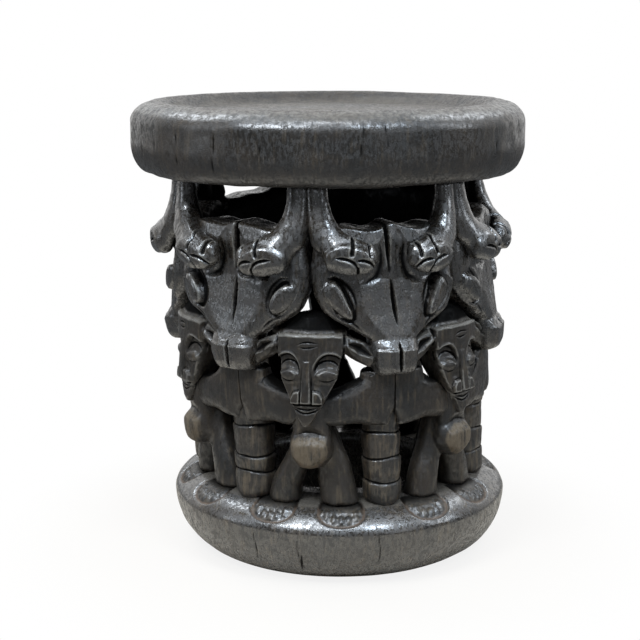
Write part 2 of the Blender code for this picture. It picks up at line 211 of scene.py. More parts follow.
def inside(outline, along, height):
    """Distance of each place inside a closed outline, negative outside."""
    ring = np.vstack((outline, outline[:1]))
    nearest, _ = distance_to(ring, along, height)
    within = np.zeros(len(along), bool)
    for (x0, y0), (x1, y1) in zip(ring, ring[1:]):
        if y0 == y1:
            continue
        crosses = (y0 > height) != (y1 > height)
        within ^= crosses & (along < (x1 - x0) * (height - y0) / (y1 - y0) + x0)
    return np.where(within, nearest, -nearest)


# Carving


class Block:
    """A form being carved: its points, its faces' outward directions and the marks left on it."""

    def __init__(self, mesh):
        self.mesh = mesh
        self.points = self.read(mesh.vertices, "co")
        self.marks = {}
        edges = np.zeros(len(mesh.edges) * 2, np.int32)
        mesh.edges.foreach_get("vertices", edges)
        self.ends = edges.reshape(-1, 2)
        self.degree = np.bincount(self.ends.ravel(), minlength=len(self.points))

    @staticmethod
    def read(items, field):
        values = np.zeros(len(items) * 3, np.float32)
        items.foreach_get(field, values)
        return values.reshape(-1, 3).astype(float)

    def normals(self):
        """Outward directions of the form as it now is."""
        self.mesh.vertices.foreach_set("co", self.points.astype(np.float32).ravel())
        self.mesh.update()
        return self.read(self.mesh.vertex_normals, "vector")

    def around(self, values):
        """Mean of each point's neighbours."""
        total = np.zeros_like(values)
        for axis in range(values.shape[1]):
            here, there = self.ends[:, 0], self.ends[:, 1]
            total[:, axis] = np.bincount(here, values[there, axis], len(values))
            total[:, axis] += np.bincount(there, values[here, axis], len(values))
        return total / self.degree[:, None]

    def rub(self, rounds, share=0.5):
        """Soften the surface."""
        for _ in range(rounds):
            self.points += (self.around(self.points) - self.points) * share

    def swell(self, amount):
        """Move the surface out along its own directions."""
        self.points += self.normals() * np.reshape(amount, (-1, 1))

    def facet(self, spacing, strength, seed):
        """Flatten patches of the surface, as short strokes of an adze leave it."""
        chance = np.random.default_rng(seed)
        normals = self.normals()
        order = chance.permutation(len(self.points))
        cells = np.floor(self.points[order] / spacing).astype(int)
        _, first = np.unique(cells, axis=0, return_index=True)
        picks = order[first]
        away = ((self.points**2).sum(axis=1)[:, None] - 2 * self.points @ self.points[picks].T
                + (self.points[picks] ** 2).sum(axis=1))
        nearest = picks[np.argmin(away + (1 - normals @ normals[picks].T) * spacing**2 * 4, axis=1)]
        lift = ((self.points - self.points[nearest]) * normals[nearest]).sum(axis=1)
        lift = np.clip(lift, -spacing / 6, spacing / 6) * strength
        self.points -= normals[nearest] * lift[:, None]

    def mark(self, name, values):
        """Leave a mark from 0 to 1 for the finish to show; marks of one name add up."""
        self.marks[name] = np.clip(self.marks.get(name, 0) + np.clip(values, 0, 1), 0, 1)

    def weather(self):
        """Mark worn edges, lightened as painted highlight, dusty hollows, darkened as painted shade, and
        dusty tops, by how the surface bends.
        """
        normals = self.normals()
        length = np.linalg.norm(self.points[self.ends[:, 0]] - self.points[self.ends[:, 1]], axis=1).mean()
        bend = ((self.points - self.around(self.points)) * normals).sum(axis=1, keepdims=True)
        bend *= 2 * MM / length**2
        for _ in range(4):
            bend += (self.around(bend) - bend) * 0.6
        # Convex edges: wear, lightened further as painted highlight
        self.mark("wear_and_highlight", (bend[:, 0] - WEAR_AND_HIGHLIGHT_FROM) * WEAR_AND_HIGHLIGHT_GAIN)
        # Hollows: darkened through the soot layer as painted shade, and a little dusty
        self.mark("hollow", (-bend[:, 0] - HOLLOW_FROM) * HOLLOW_GAIN)
        self.mark("dust", step((normals[:, 2] - DUSTY_SLOPE) * 3) * DUST_SHARE)

    def paint_shade_inside(self):
        """Darken whatever faces the hollow middle of the log through the soot layer, as painted shade."""
        x, y = self.points[:, 0] - lean(self.points[:, 2]), self.points[:, 1]
        normals = self.normals()
        facing = (normals[:, 0] * x + normals[:, 1] * y) / np.hypot(x, y)
        self.mark("cut", step(-facing * 3 - 0.3))

    def place(self, name, slot, material):
        """Finished piece in place of its plain solid."""
        self.weather()
        self.normals()
        for mark, values in self.marks.items():
            layer = self.mesh.attributes.new(mark, "FLOAT", "POINT")
            layer.data.foreach_set("value", np.asarray(values, np.float32))
        self.mesh.name = name + "_carved"
        self.mesh.materials.clear()
        self.mesh.materials.append(material)
        self.mesh.shade_smooth()
        piece = bpy.data.objects.new(name + "_carved", self.mesh)
        bpy.context.scene.collection.objects.link(piece)
        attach(piece, "root")
        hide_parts(name)


def applied(mesh, modifiers):
    """Mesh with modifiers applied, given as (type, settings)."""
    holder = bpy.data.objects.new("holder", mesh)
    bpy.context.scene.collection.objects.link(holder)
    for kind, settings in modifiers:
        modifier = holder.modifiers.new(kind.title(), kind)
        for field, value in settings.items():
            setattr(modifier, field, value)
    result = bpy.data.meshes.new_from_object(holder.evaluated_get(bpy.context.evaluated_depsgraph_get()))
    bpy.data.objects.remove(holder)
    return result


def solid_copy(node):
    """Copy of a plain solid's mesh with its doubled points merged."""
    mesh_builder = bmesh.new()
    mesh_builder.from_mesh(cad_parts[node].data)
    bmesh.ops.remove_doubles(mesh_builder, verts=mesh_builder.verts, dist=MERGE_DISTANCE)
    mesh = bpy.data.meshes.new(node)
    mesh_builder.to_mesh(mesh)
    mesh_builder.free()
    return mesh


def skinned(mesh, grain):
    """Block with an even skin of small faces."""
    grain = grain * 1.0
    settings = {"mode": "VOXEL", "voxel_size": grain, "adaptivity": 0.0}
    return Block(applied(mesh, (("REMESH", settings),)))


def rough_out(node, grain, rounds, swell):
    """Rounded copy of a plain solid: rubbed in a coarse skin, then refined to the grain."""
    block = skinned(solid_copy(node), grain * 2)
    block.rub(rounds)
    block.normals()
    block = Block(applied(block.mesh, (("SUBSURF", {"levels": 1, "render_levels": 1}),)))
    block.swell(swell)
    return block


# Beyond this distance in millimetres a place counts as far outside an outline
FAR_OUTSIDE = 15.0


class Relief:
    """Cuts and swellings laid out on one bay of the wall in millimetres, then worked into a block."""

    def __init__(self, block, wall, level, upward=0.0):
        self.block = block
        along, radius, height = wall.unroll(block.points)
        self.up = (height - level) / MM
        self.side = along / MM
        self.radius = radius / MM
        outward = wall.roll(along, radius + MM, height) - block.points
        outward /= np.linalg.norm(outward, axis=1, keepdims=True)
        self.outward = outward
        look = outward + np.array((0, 0, upward))
        look /= np.linalg.norm(look, axis=1, keepdims=True)
        self.facing = step((block.normals() * look).sum(axis=1) * 2.5 + 0.2)
        self.depth = np.zeros(len(along))

    @staticmethod
    def both(points):
        """The same line on the left and on the right of the middle."""
        return [(-side, up) for side, up in points], points

    def near(self, line, margin):
        """Places within a margin of a line's box."""
        low, high = line.min(axis=0) - margin, line.max(axis=0) + margin
        within = (self.side > low[0]) & (self.side < high[0]) & (self.up > low[1]) & (self.up < high[1])
        return np.flatnonzero(within)

    def cut(self, points, width, depth, ends=0.35):
        """V-shaped cut along a smooth line, or a ridge if its depth is negative, running out at its ends."""
        line = curve(points)
        here = self.near(line, width)
        gap, share = distance_to(line, self.side[here], self.up[here])
        run = np.clip(np.minimum(share, 1 - share) / ends, 0, 1) ** 0.6 if ends else np.ones(len(here))
        groove = np.clip(1 - gap / (width / 2 * np.maximum(run, 0.25)), 0, 1)
        self.depth[here] -= depth * groove**0.85 * run
        # The groove's bottom is marked for the soot layer: painted shade in the cut
        if depth > 0:
            marks = np.zeros(len(self.side))
            marks[here] = groove * run
            self.block.mark("cut", marks)

    def within(self, points, smooth=True):
        """Distance inside a closed outline, negative outside."""
        line = curve(points, closed=True) if smooth else np.array(points, float)
        here = self.near(line, FAR_OUTSIDE)
        inner = np.full(len(self.side), -FAR_OUTSIDE)
        inner[here] = inside(line, self.side[here], self.up[here])
        return inner

    def lobe(self, points, rise, edge):
        """Raised or sunken patch inside a closed outline."""
        self.depth += rise * step(self.within(points) / edge + 0.5)

    def level(self, patch, radius):
        """Dress a patch to a distance in millimetres from the log's middle."""
        self.depth += (radius - self.radius - self.depth) * patch

    def work(self, along_normals=False):
        """Move the block's points."""
        depth = self.depth * self.facing * MM
        if along_normals:
            self.block.swell(depth)
        else:
            self.block.points += self.outward * depth[:, None]


# Carved pieces, sizes in millimetres from the middle of the bay and from the piece's own foot

BEAST_SLANTS = (-0.075, 0.03, -0.03, 0.04, -0.03, 0.06)
BEAST_HOLLOWS = ((0.5, 0.9), (2.0, 1.0), (1.0, 2.0), (2.0, 1.0), (1.0, 2.0), (0.6, 4.0))
CREST_LIFTS = (0.0, 0.0, 0.0, 2.5, 0.0, 0.0)
CREST_TILTS = (0.0, 0.0, 0.0, -5.0, 0.0, 0.0)
CHEEK_SPREAD = 1.6 * MM
FACE_LEVELS = (0, 24, 30, 60, 90, 112, 137)
FACE_SLOPES = (1.0, 3.0, 3.0, -2.5, -8.0, -6.5, 0.0)
EYE_SIDES = ((59, 53), (64, 56), (56, 56), (56, 56), (56, 56), (50.5, 59))
EYE_LEVEL = 71.5
EYE_OUTLINE = (
    (-10.9, -13), (-13, -4.8), (-7.5, 6.3), (2.4, 13.6), (10.9, 13), (13, 4.8), (7.5, -6.3), (-2.4, -13.6)
)
POINTED_EYE = (
    (4.5, 18), (11, 13.5), (13.8, 8.6), (11.7, 0.4), (4.5, -7.8),
    (-5.8, -16), (-13.2, -18), (-14, -11.9), (-8.8, 0.4), (-2.7, 12.7),
)
POINTED_EYE_HEAD = 1
EYE_BED = (57, 74)
EYE_BED_REACH = (18, 24)
EYE_BED_DEPTH = 2.0
EYE_CREASE = ((-15, -17), (-18, -5), (-13, 9), (-2, 18), (11, 19.5))
BROW_HOLLOW = ((5, 92), (24, 90), (42, 89), (44, 98), (27, 99), (18, 108), (14, 124), (5, 130))
CHEEK_CREASE = ((30, 31), (33, 38), (44, 49), (62, 56))
EAR_RECESS = ((15, 125), (12.5, 113), (14.5, 100), (21, 90.5), (36, 85))
FACE_HALF_WIDTH = 78
MUZZLE_TOP, MUZZLE_HALF_WIDTH, MUZZLE_RISE = 25, 31, 2.0
MUZZLE_LEDGE, LEDGE_HALF_WIDTH, LEDGE_DEPTH = 30, 38, 0.7
MUZZLE_SPLIT = ((0, 31), (0, 16), (0, 0.5))
FACE_GROOVES = (((0, 175), (0, 118), (0, 93)), ((0.8, 90), (0.8, 70), (0.8, 45)))
GROOVE_PIVOT = 40
CREST_LEVEL, CREST_RISE = 112, 26


def carve_beast_head(number, settings, material):
    """Long grooved face with leaf-shaped eyes, hollowed brows and a split, ledged muzzle."""
    node = f"beast_head_{number}"
    wall = BEASTS[number - 1]
    grain = settings.grain * fineness(BEAST_ANGLES[number - 1])
    block = rough_out(node, grain, rounds=4, swell=0.9 * MM)
    block.facet(spacing=20 * MM, strength=settings.adze, seed=number)
    block.rub(3)
    relief = Relief(block, wall, MUZZLE_LEVEL)
    side, up = relief.side, relief.up
    across = np.abs(side)
    from_bed = np.hypot((across - EYE_BED[0]) / EYE_BED_REACH[0], (up - EYE_BED[1]) / EYE_BED_REACH[1])
    relief.level(step(1.5 - from_bed), HEAD_FRONT / MM - EYE_BED_DEPTH)
    relief.depth += np.interp(up, FACE_LEVELS, FACE_SLOPES) * step((FACE_HALF_WIDTH - across) / 24)
    muzzle = step((MUZZLE_TOP - up) / 2.0) * step((MUZZLE_HALF_WIDTH - across) / 3)
    relief.depth += MUZZLE_RISE * muzzle
    ledge = np.exp(-(((up - MUZZLE_LEDGE) / 4) ** 2)) * step((LEDGE_HALF_WIDTH - across) / 10)
    relief.depth -= LEDGE_DEPTH * ledge
    relief.cut(MUZZLE_SPLIT, width=5.0, depth=6.0, ends=0.3)
    for line in relief.both(CHEEK_CREASE):
        relief.cut(line, width=4.0, depth=0.9, ends=0.5)
    for hand, hollow, middle in zip((-1, 1), BEAST_HOLLOWS[number - 1], EYE_SIDES[number - 1]):
        relief.lobe([(hand * x, y) for x, y in BROW_HOLLOW], rise=-hollow, edge=4.0)
        relief.cut([(hand * x, y) for x, y in EAR_RECESS], width=12.0, depth=2.4, ends=0.4)
        out = hand * side - middle
        rise = up - EYE_LEVEL
        outline = POINTED_EYE if number == POINTED_EYE_HEAD else EYE_OUTLINE
        inner = relief.within([(hand * (middle + x), EYE_LEVEL + y) for x, y in outline])
        socket = np.exp(-(((inner + 2.0) / 2.0) ** 2)) * np.clip(0.75 - out / 14 + rise / 60, 0.15, 1)
        relief.depth -= settings.eye_socket / MM * socket
        # Painted shade: the socket round the eye is darkened through the cut mark
        block.mark("cut", socket * 0.6)
        crease = [(hand * (middle + x), EYE_LEVEL + y) for x, y in EYE_CREASE]
        relief.cut(crease, width=6.0, depth=2.0, ends=0.4)
        dome = 2.2 * step(inner / 6) - 0.0045 * (out + 4) ** 2 - 0.07 * out + 0.03 * rise
        relief.level(step(inner / 1.2), (HEAD_FRONT + settings.eye_rise) / MM + dome)
    slot = Relief(block, wall, MUZZLE_LEVEL)
    slot.side = side - (up - GROOVE_PIVOT) * BEAST_SLANTS[number - 1]
    for line in FACE_GROOVES:
        slot.cut(line, width=settings.groove_width / MM, depth=settings.groove_depth / MM)
    relief.depth += slot.depth
    relief.work()
    crest = CREST_LIFTS[number - 1] + 3.2 * np.exp(-((side / 11) ** 2)) + 1.6 * np.sin(side / 9 + number)
    crest = crest + CREST_TILTS[number - 1] * np.clip(side / 30, -1, 1)
    crest = step((up - CREST_LEVEL) / CREST_RISE) * crest
    block.points[:, 2] += crest * MM
    along, radius, height = wall.unroll(block.points)
    along += np.sign(along) * CHEEK_SPREAD * step((across - 66) / 14)
    block.points = wall.roll(along, radius, height)
    block.rub(1, 0.3)
    chance = np.random.default_rng(120 + number)
    block.swell(chance.normal(0, settings.stipple, len(side)))
    block.paint_shade_inside()
    block.place(node, "beast_wood", material)


EAR_OUTLINE = (
    (20, 106), (24, 118), (33, 125), (46, 128), (58, 125), (66, 116), (64, 103), (48, 97), (32, 97)
)
EAR_FINGERS = (((24.5, 136), (23.8, 128), (24.5, 118)), ((40, 140), (39.5, 130), (41, 120)))
EAR_LEAVES = (
    ((56, 117), (47, 116), (40, 113), (36, 107)),
    ((38, 114.5), (31, 114.5), (25, 112), (19.5, 106)),
    ((36.5, 110), (35.5, 104), (36, 97)),
)
# How far an ear lies outward of, and below, its block
EAR_PLACE = (0.0, 6.5)
EAR_PLACES = {
    ("left", 1): (5.0, 3.0),
    ("right", 1): (-2.5, 4.5),
    ("left", 6): (-6.5, 6.5),
    ("left", 2): (8.0, 3.0),
}
EAR_HALF_WIDTH = 76
EAR_TOP = 150
HORN_INSIDE = 72
HORN_SPREAD = 1.5 * MM


def carve_horn(name, number, hand, settings, material):
    """Smooth horn whose root spreads into an ear of folded fingers over leaf-shaped lobes."""
    node = f"horn_{name}_{number}"
    wall = BEASTS[number - 1]
    grain = settings.grain * HORN_GRAIN * fineness(BEAST_ANGLES[number - 1])
    block = rough_out(node, grain, rounds=9, swell=1.6 * MM)
    relief = Relief(block, wall, MUZZLE_LEVEL, upward=0.6)
    relief.side *= hand
    relief.lobe(EAR_OUTLINE, rise=2.2, edge=6.0)
    for line in EAR_FINGERS:
        relief.cut(line, width=4.4, depth=3.6, ends=0.0)
    for line in EAR_LEAVES:
        relief.cut(line, width=3.6, depth=3.0, ends=0.25)
    relief.work(along_normals=True)
    along, radius, height = wall.unroll(block.points)
    side, up = along * hand / MM, (height - MUZZLE_LEVEL) / MM
    ear = step((EAR_HALF_WIDTH - side) / 16) * step((EAR_TOP - up) / 22)
    out, fall = EAR_PLACES.get((name, number), EAR_PLACE)
    shift = HORN_SPREAD * step((side - HORN_INSIDE) / 10) + out * MM * ear
    block.points = wall.roll(along + hand * shift, radius, height - fall * MM * ear)
    block.paint_shade_inside()
    block.place(node, "horn_wood", material)


FIGURE_SLANTS = (0.055, -0.03, 0.03, -0.02, 0.02, 0.03)
FACE_MARKS = (((-11, 79.5), (0, 82.5), (12, 81)), ((-10, 78), (0, 76.8), (11, 79)))
BROW = ((33.5, 63), (28, 70), (18, 71.5), (11, 66), (8, 57))
SOCKET = ((34, 62), (28, 69), (18, 70.5), (10.5, 65), (7, 55), (10, 44), (21, 41), (30, 47))
LID = ((32, 55.5), (26.5, 62), (18.5, 64), (10.5, 60.5), (7.5, 54))
EYEBALL = (
    (31, 51.5), (26, 55.8), (19.5, 57.3), (13, 55.6), (8.3, 51), (13, 47.3), (19.5, 46.2), (26, 47.6)
)
POUCH = ((30, 49), (25, 46), (19.5, 44.6), (13.5, 45.6), (9, 49))
NOSE = ((-3.4, 64), (3.4, 64), (4.4, 45), (5.4, 23.5), (-5.4, 23.5), (-4.4, 45))
NOSTRIL = ((6.4, 35.5), (13, 34.5), (16.2, 29), (16, 23.0), (6.4, 22.8))
CHEEK = ((8, 44), (23, 42), (19, 30), (14, 37), (8, 38))
LIP_TOP = ((-17, 21.6), (0, 21.8), (17, 21.6))
LIP_SLIT = ((-14, 19.6), (0, 16.8), (14, 19.6))
LIP_LOW = ((-15, 19.6), (-9, 15.6), (0, 13), (9, 15.6), (15, 19.6))
LEAF_HOLLOW = ((40, 80), (50, 75.5), (63, 67))
LEAF_RIM = ((37, 87), (50, 84), (66, 77), (65, 57), (52, 62), (40, 72))
SHIELD_LEVELS = (0, 8, 25, 46, 73, 89)
SHIELD_HALF_WIDTHS = (4, 9, 19, 30, 35, 35)
SHIELD_TOP = 89
SOCKET_DEPTH, SOCKET_FOOT = 4.8, 46
NOSE_TOP = 64
FACE_PIVOT, FACE_WIDTH = 45, 44
CROWN_LEVEL, CROWN_EDGE, CROWN_TOP = 78, 88.2, 90
CROWN_GRIT = 0.3 * MM


def carve_figure_head(number, settings, material):
    """Shield-shaped face with arched brows, long stepped nose, thin smile and hollowed leaf ears."""
    node = f"figure_head_{number}"
    wall = FIGURES[number - 1]
    grain = settings.grain * FACE_GRAIN * fineness(FIGURE_ANGLES[number - 1])
    block = skinned(solid_copy(node), grain)
    block.rub(4)
    block.swell(0.5 * MM)
    relief = Relief(block, wall, CHIN_LEVEL)
    side, up = relief.side, relief.up
    across = np.abs(side)
    edge = np.interp(up, SHIELD_LEVELS, SHIELD_HALF_WIDTHS)
    plane = FACE_FRONT / MM - 0.0035 * side**2 - 0.02 * np.abs(up - 50)
    shield = step((edge - across) / 2.5) * step((up - 1) / 5) * step((SHIELD_TOP - up) / 2)
    relief.level(shield, plane)
    for outline in relief.both(SOCKET):
        patch = step(relief.within(outline) / 2.0 + 0.5)
        relief.depth -= SOCKET_DEPTH * patch * step((up - SOCKET_FOOT) / 17)
    for outline in relief.both(CHEEK):
        relief.lobe(outline, rise=-1.6, edge=6.0)
    for line in relief.both(BROW):
        relief.cut(line, width=4.5, depth=-1.0, ends=0.3)
    for outline in relief.both(EYEBALL):
        swelling = 0.8 + 1.8 * step((up - 45) / 9)
        relief.depth += step((relief.within(outline) + 0.8) / 4.0) * swelling
    for line in relief.both(LID):
        relief.cut(line, width=2.4, depth=1.8, ends=0.3)
    for line in relief.both(POUCH):
        relief.cut(line, width=2.2, depth=0.8, ends=0.4)
    nose = relief.within(NOSE, smooth=False)
    relief.depth += step(nose / 1.4 + 0.4) * (0.8 + 4.6 * np.clip((NOSE_TOP - up) / 40, 0, 1))
    for outline in relief.both(NOSTRIL):
        wing = relief.within(outline, smooth=False)
        relief.depth += step(wing / 1.4 + 0.4) * np.clip(4.6 - (up - 23) * 0.1, 0, 5)
    relief.cut(LIP_TOP, width=2.6, depth=2.6, ends=0.2)
    relief.cut(LIP_SLIT, width=2.2, depth=1.8, ends=0.3)
    relief.cut(LIP_LOW, width=2.4, depth=1.9, ends=0.25)
    for line in FACE_MARKS:
        relief.cut(line, width=2.4, depth=1.3, ends=0.4)
    for outline in relief.both(LEAF_RIM):
        relief.lobe(outline, rise=1.4, edge=2.5)
    for line in relief.both(LEAF_HOLLOW):
        relief.cut(line, width=10.0, depth=6.0, ends=0.5)
    relief.work()
    along, radius, height = wall.unroll(block.points)
    along = along + (up - FACE_PIVOT) * FIGURE_SLANTS[number - 1] * MM * step((FACE_WIDTH - across) / 8)
    block.points = wall.roll(along, radius, height)
    crown = step((block.normals()[:, 2] - 0.45) * 3) * step((up - CROWN_LEVEL) / 6)
    chance = np.random.default_rng(40 + number)
    block.swell(crown * chance.normal(0, CROWN_GRIT, len(crown)))
    above = step((up - CROWN_TOP) / 4)
    block.mark("dust", crown * 0.5 * (1 - above))
    # Painted shade: the crown's rising back, above its top, is darkened through the cut mark
    block.mark("cut", above)
    # Painted highlight: the crown's front edge and the up-facing ear tops are lightened through the wear mark
    rubbed_and_highlit = np.exp(-(((up - CROWN_EDGE) / 1.6) ** 2)) * relief.facing
    block.mark("wear_and_highlight", np.maximum(rubbed_and_highlit, crown * step((across - 36) / 3)))
    block.paint_shade_inside()
    block.place(node, "figure_wood", material)


BELLY_LEVEL = 138 * MM
BELLY_FRONT = WALL_RADIUS + 0.5 * MM
BELLY_SIZE = 23 * MM
BELLY_DOME = 2.5 * MM
BELLY_DEPTH = 12 * MM
BELLY_BEVEL = 8 * MM
WAIST_LEVEL = 172 * MM
ARM_FRONT = WALL_RADIUS - 2.5 * MM
ARM_ROUND = 4 * MM
BROAD_FOREARM = ("left", 2)
LEG_DRIFTS = (-7.5, 0.0, 0.0, 0.0, 0.0, 0.0)
BODY_DRIFTS = (0.0, 0.0, 0.0, 9.0, 0.0, 0.0)
ELBOW_CORNER = (40 * MM, 192 * MM)
ELBOW_SQUARE = 0.95
FOREARM_INSIDE = 55 * MM
FOREARM_STRETCH = 1.4
BROAD_BY = 8 * MM
BROAD_TO = (72 * MM, 187 * MM)
BAY_MARGIN = 0.5 * MM


def carve_figure_body(number, settings, material):
    """Torso, round domed belly with a bevelled top, and stout legs."""
    node = f"figure_body_{number}"
    wall = FIGURES[number - 1]
    grain = settings.grain * fineness(FIGURE_ANGLES[number - 1]) * BODY_GRAIN
    block = rough_out(node, grain, rounds=7, swell=1.5 * MM)
    block.facet(spacing=22 * MM, strength=settings.adze * 0.6, seed=60 + number)
    block.rub(5)
    along, radius, height = wall.unroll(block.points)
    reach = np.hypot(along, height - BELLY_LEVEL)
    near = step((BELLY_SIZE - reach) / (2 * MM)) * (radius > WALL_RADIUS - BELLY_DEPTH)
    dome = BELLY_DOME * (1 - (reach / BELLY_SIZE) ** 2)
    front = np.minimum(radius, BELLY_FRONT + dome)
    over = front - BELLY_FRONT + height - BELLY_LEVEL - BELLY_BEVEL + along**2 * 12
    over = np.clip(over, 0, None) / 2.2
    moved = wall.roll(along, front - over, height - over)
    block.points += (moved - block.points) * near[:, None]
    block.rub(5)
    along, radius, height = wall.unroll(block.points)
    low = step((BELLY_LEVEL - BELLY_BEVEL - height) / (40 * MM))
    along += LEG_DRIFTS[number - 1] * MM * low
    along += BODY_DRIFTS[number - 1] * MM * step((WAIST_LEVEL - height) / (14 * MM))
    block.points = wall.roll(along, radius, height)
    block.mark("warmth", near * step((radius - WALL_RADIUS + 6 * MM) / (4 * MM)))
    block.paint_shade_inside()
    block.place(node, "figure_wood", material)


def rounded(radius, front):
    """Radius dressed back to a front with softly rounded edges."""
    return front - ARM_ROUND * np.logaddexp(0, (front - radius) / ARM_ROUND)


def carve_figure_arm(name, number, settings, material):
    """Thick raised arm with a squared elbow, dressed to one front with rounded edges."""
    node = f"figure_arm_{name}_{number}"
    wall = FIGURES[number - 1]
    grain = settings.grain * fineness(FIGURE_ANGLES[number - 1])
    block = rough_out(node, grain, rounds=2, swell=0.8 * MM)
    block.facet(spacing=26 * MM, strength=settings.adze, seed=80 + number)
    along, radius, height = wall.unroll(block.points)
    front = ARM_FRONT + 0.8 * MM * waves(block.points, 90 + number, 40 * MM)
    hand = np.sign(along.mean())
    out = along * hand
    beyond = np.clip(out - ELBOW_CORNER[0], 0, None)
    below = np.clip(ELBOW_CORNER[1] - height, 0, None)
    square = np.hypot(beyond, below) / np.maximum(np.maximum(beyond, below), 0.01 * MM)
    grow = np.where((beyond > 0) & (below > 0), (square - 1) * ELBOW_SQUARE, 0)
    out = out + beyond * grow
    height = height - below * grow
    out = out + np.clip(out - FOREARM_INSIDE, 0, None) * (FOREARM_STRETCH - 1)
    if (name, number) == BROAD_FOREARM:
        broad = step((BROAD_TO[0] - out) / (12 * MM)) * step((height - BROAD_TO[1]) / (10 * MM))
        out = out - BROAD_BY * broad
    out = np.minimum(out, HALF_BAY - BAY_MARGIN)
    block.points = wall.roll(out * hand, rounded(radius, front), height)
    block.rub(3)
    # Painted shade: the up-facing top of the arm, under the heads, is darkened through the cut mark
    block.mark("cut", step((block.normals()[:, 2] - 0.25) * 3) * 0.9)
    block.paint_shade_inside()
    block.place(node, "figure_wood", material)


RING_LEVELS = (
    (99, 123, 148.5), (102, 125, 152), (100, 124, 150), (103, 126, 153), (101, 122, 150), (103, 119.5, 150)
)
RING_FLARE = 0.9
RING_UNDERCUT = 1.5
NOTCH = 1.1 * MM
POST_MIDDLE = 134 * MM
POST_WARMTH = 0.25


def carve_post(number, settings, material):
    """Post of stacked barrels that flare upward, each undercut where it stands on the next."""
    node = f"ringed_post_{number}"
    low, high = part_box(node)
    angle = math.radians(POST_ANGLES[number - 1])
    grain = settings.grain * POST_GRAIN * fineness(POST_ANGLES[number - 1])
    block = rough_out(node, grain, rounds=9, swell=1.7 * MM)
    up = block.points[:, 2]
    out = np.column_stack((
        block.points[:, 0] - lean(up) - POST_MIDDLE * math.sin(angle),
        block.points[:, 1] + POST_MIDDLE * math.cos(angle),
        np.zeros(len(up)),
    ))
    out /= np.linalg.norm(out, axis=1, keepdims=True)
    turn = np.arctan2(out[:, 1], out[:, 0])
    edges = [np.full(len(up), low.z)]
    for index, ring in enumerate(RING_LEVELS[number - 1]):
        wobble = 1.2 * np.sin(turn * 2 + number + index * 2) - 1.0 * np.sin(turn - angle)
        edges.append((ring + wobble) * MM)
    edges.append(np.full(len(up), high.z))
    depth = 0.5 * waves(block.points, 100 + number, 24 * MM)
    for bottom, top in zip(edges, edges[1:]):
        share = (up - bottom) / (top - bottom)
        depth += RING_FLARE * (share - 0.65) * ((share >= 0) & (share < 1))
    for level in edges[1:-1]:
        notch = np.exp(-(((up - level - NOTCH) / NOTCH) ** 2))
        notch = notch * (0.8 + 0.2 * np.sin(turn * 3 + number))
        depth -= RING_UNDERCUT * notch
        # Painted shadow: the undercut notch under each barrel is darkened through the cut mark
        block.mark("cut", notch * 0.9)
    block.points += out * (depth * MM * (np.abs(block.normals()[:, 2]) < 0.95))[:, None]
    block.mark("warmth", np.full(len(up), POST_WARMTH))
    block.paint_shade_inside()
    block.place(node, "post_wood", material)


def ellipse(middle, half_width, half_height, start, end, count):
    """Profile points (radius, height) on part of an ellipse, without the last."""
    points = []
    for index in range(count):
        angle = math.radians(start + (end - start) * index / count)
        points.append((middle[0] + half_width * math.cos(angle), middle[1] + half_height * math.sin(angle)))
    return points


def straight(start, end, count):
    """Profile points (radius, height) on a line, without the last."""
    return [tuple(np.array(start) + (np.array(end) - start) * index / count) for index in range(count)]


def turn_block(profile, middle, steps, closed):
    """Block turned about the upright axis through middle."""
    mesh_builder = bmesh.new()
    verts = [mesh_builder.verts.new((radius, 0, height)) for radius, height in profile]
    edges = [mesh_builder.edges.new(pair) for pair in zip(verts, verts[1:])]
    if closed:
        edges.append(mesh_builder.edges.new((verts[-1], verts[0])))
    bmesh.ops.spin(
        mesh_builder,
        geom=verts + edges,
        axis=(0, 0, 1),
        cent=(0, 0, 0),
        angle=2 * math.pi,
        steps=steps,
        use_merge=True,
    )
    bmesh.ops.remove_doubles(mesh_builder, verts=mesh_builder.verts, dist=MERGE_DISTANCE / 10)
    bmesh.ops.recalc_face_normals(mesh_builder, faces=mesh_builder.faces)
    bmesh.ops.translate(mesh_builder, verts=mesh_builder.verts, vec=(middle, 0, 0))
    mesh = bpy.data.meshes.new("turned")
    mesh_builder.to_mesh(mesh)
    mesh_builder.free()
    return Block(mesh)


def waves(points, seed, length, count=24):
    """Smooth random swelling of about unit height with a given wave length."""
    chance = np.random.default_rng(seed)
    total = np.zeros(len(points))
    for _ in range(count):
        direction = chance.normal(0, 1, 3)
        direction *= 2 * math.pi / (length * np.linalg.norm(direction)) * chance.uniform(0.6, 1.5)
        total += np.sin(points @ direction + chance.uniform(0, 2 * math.pi))
    return total / math.sqrt(count / 2) / 1.6


def round_the_log(points, middle):
    """Angle from the front in degrees and distance from an upright axis."""
    x = points[:, 0] - middle
    return np.degrees(np.arctan2(x, -points[:, 1])), np.hypot(x, points[:, 1])


# Checks in the wood: angle, lowest and highest level, and depth in millimetres
SEAT_CHECKS = (
    (-63, 405, 447, 1.6), (-54.7, 410, 449, 1.2), (-45, 402, 443, 1.3), (-31.8, 398, 450, 2.0),
    (-18, 410, 438, 0.8), (8.6, 415, 455, 0.8), (15, 425, 453, 0.7), (52, 408, 446, 1.2),
    (96, 404, 448, 1.6), (133, 400, 449, 1.9), (171, 410, 445, 1.0), (214, 403, 450, 1.7),
    (262, 409, 446, 1.2),
)
BASE_CHECKS = (
    (-29.4, 18, 58, 1.4), (-13.9, 10, 56, 1.6), (-12.6, 14, 38, 1.0), (12.2, 22, 66, 0.8),
    (70, 12, 55, 1.4), (120, 16, 60, 1.7), (163, 10, 52, 1.2), (205, 14, 58, 1.6),
    (251, 18, 60, 1.3), (299, 12, 50, 1.0),
)
CHECK_WIDTH = 1.5
CHECK_SHARE = 0.6


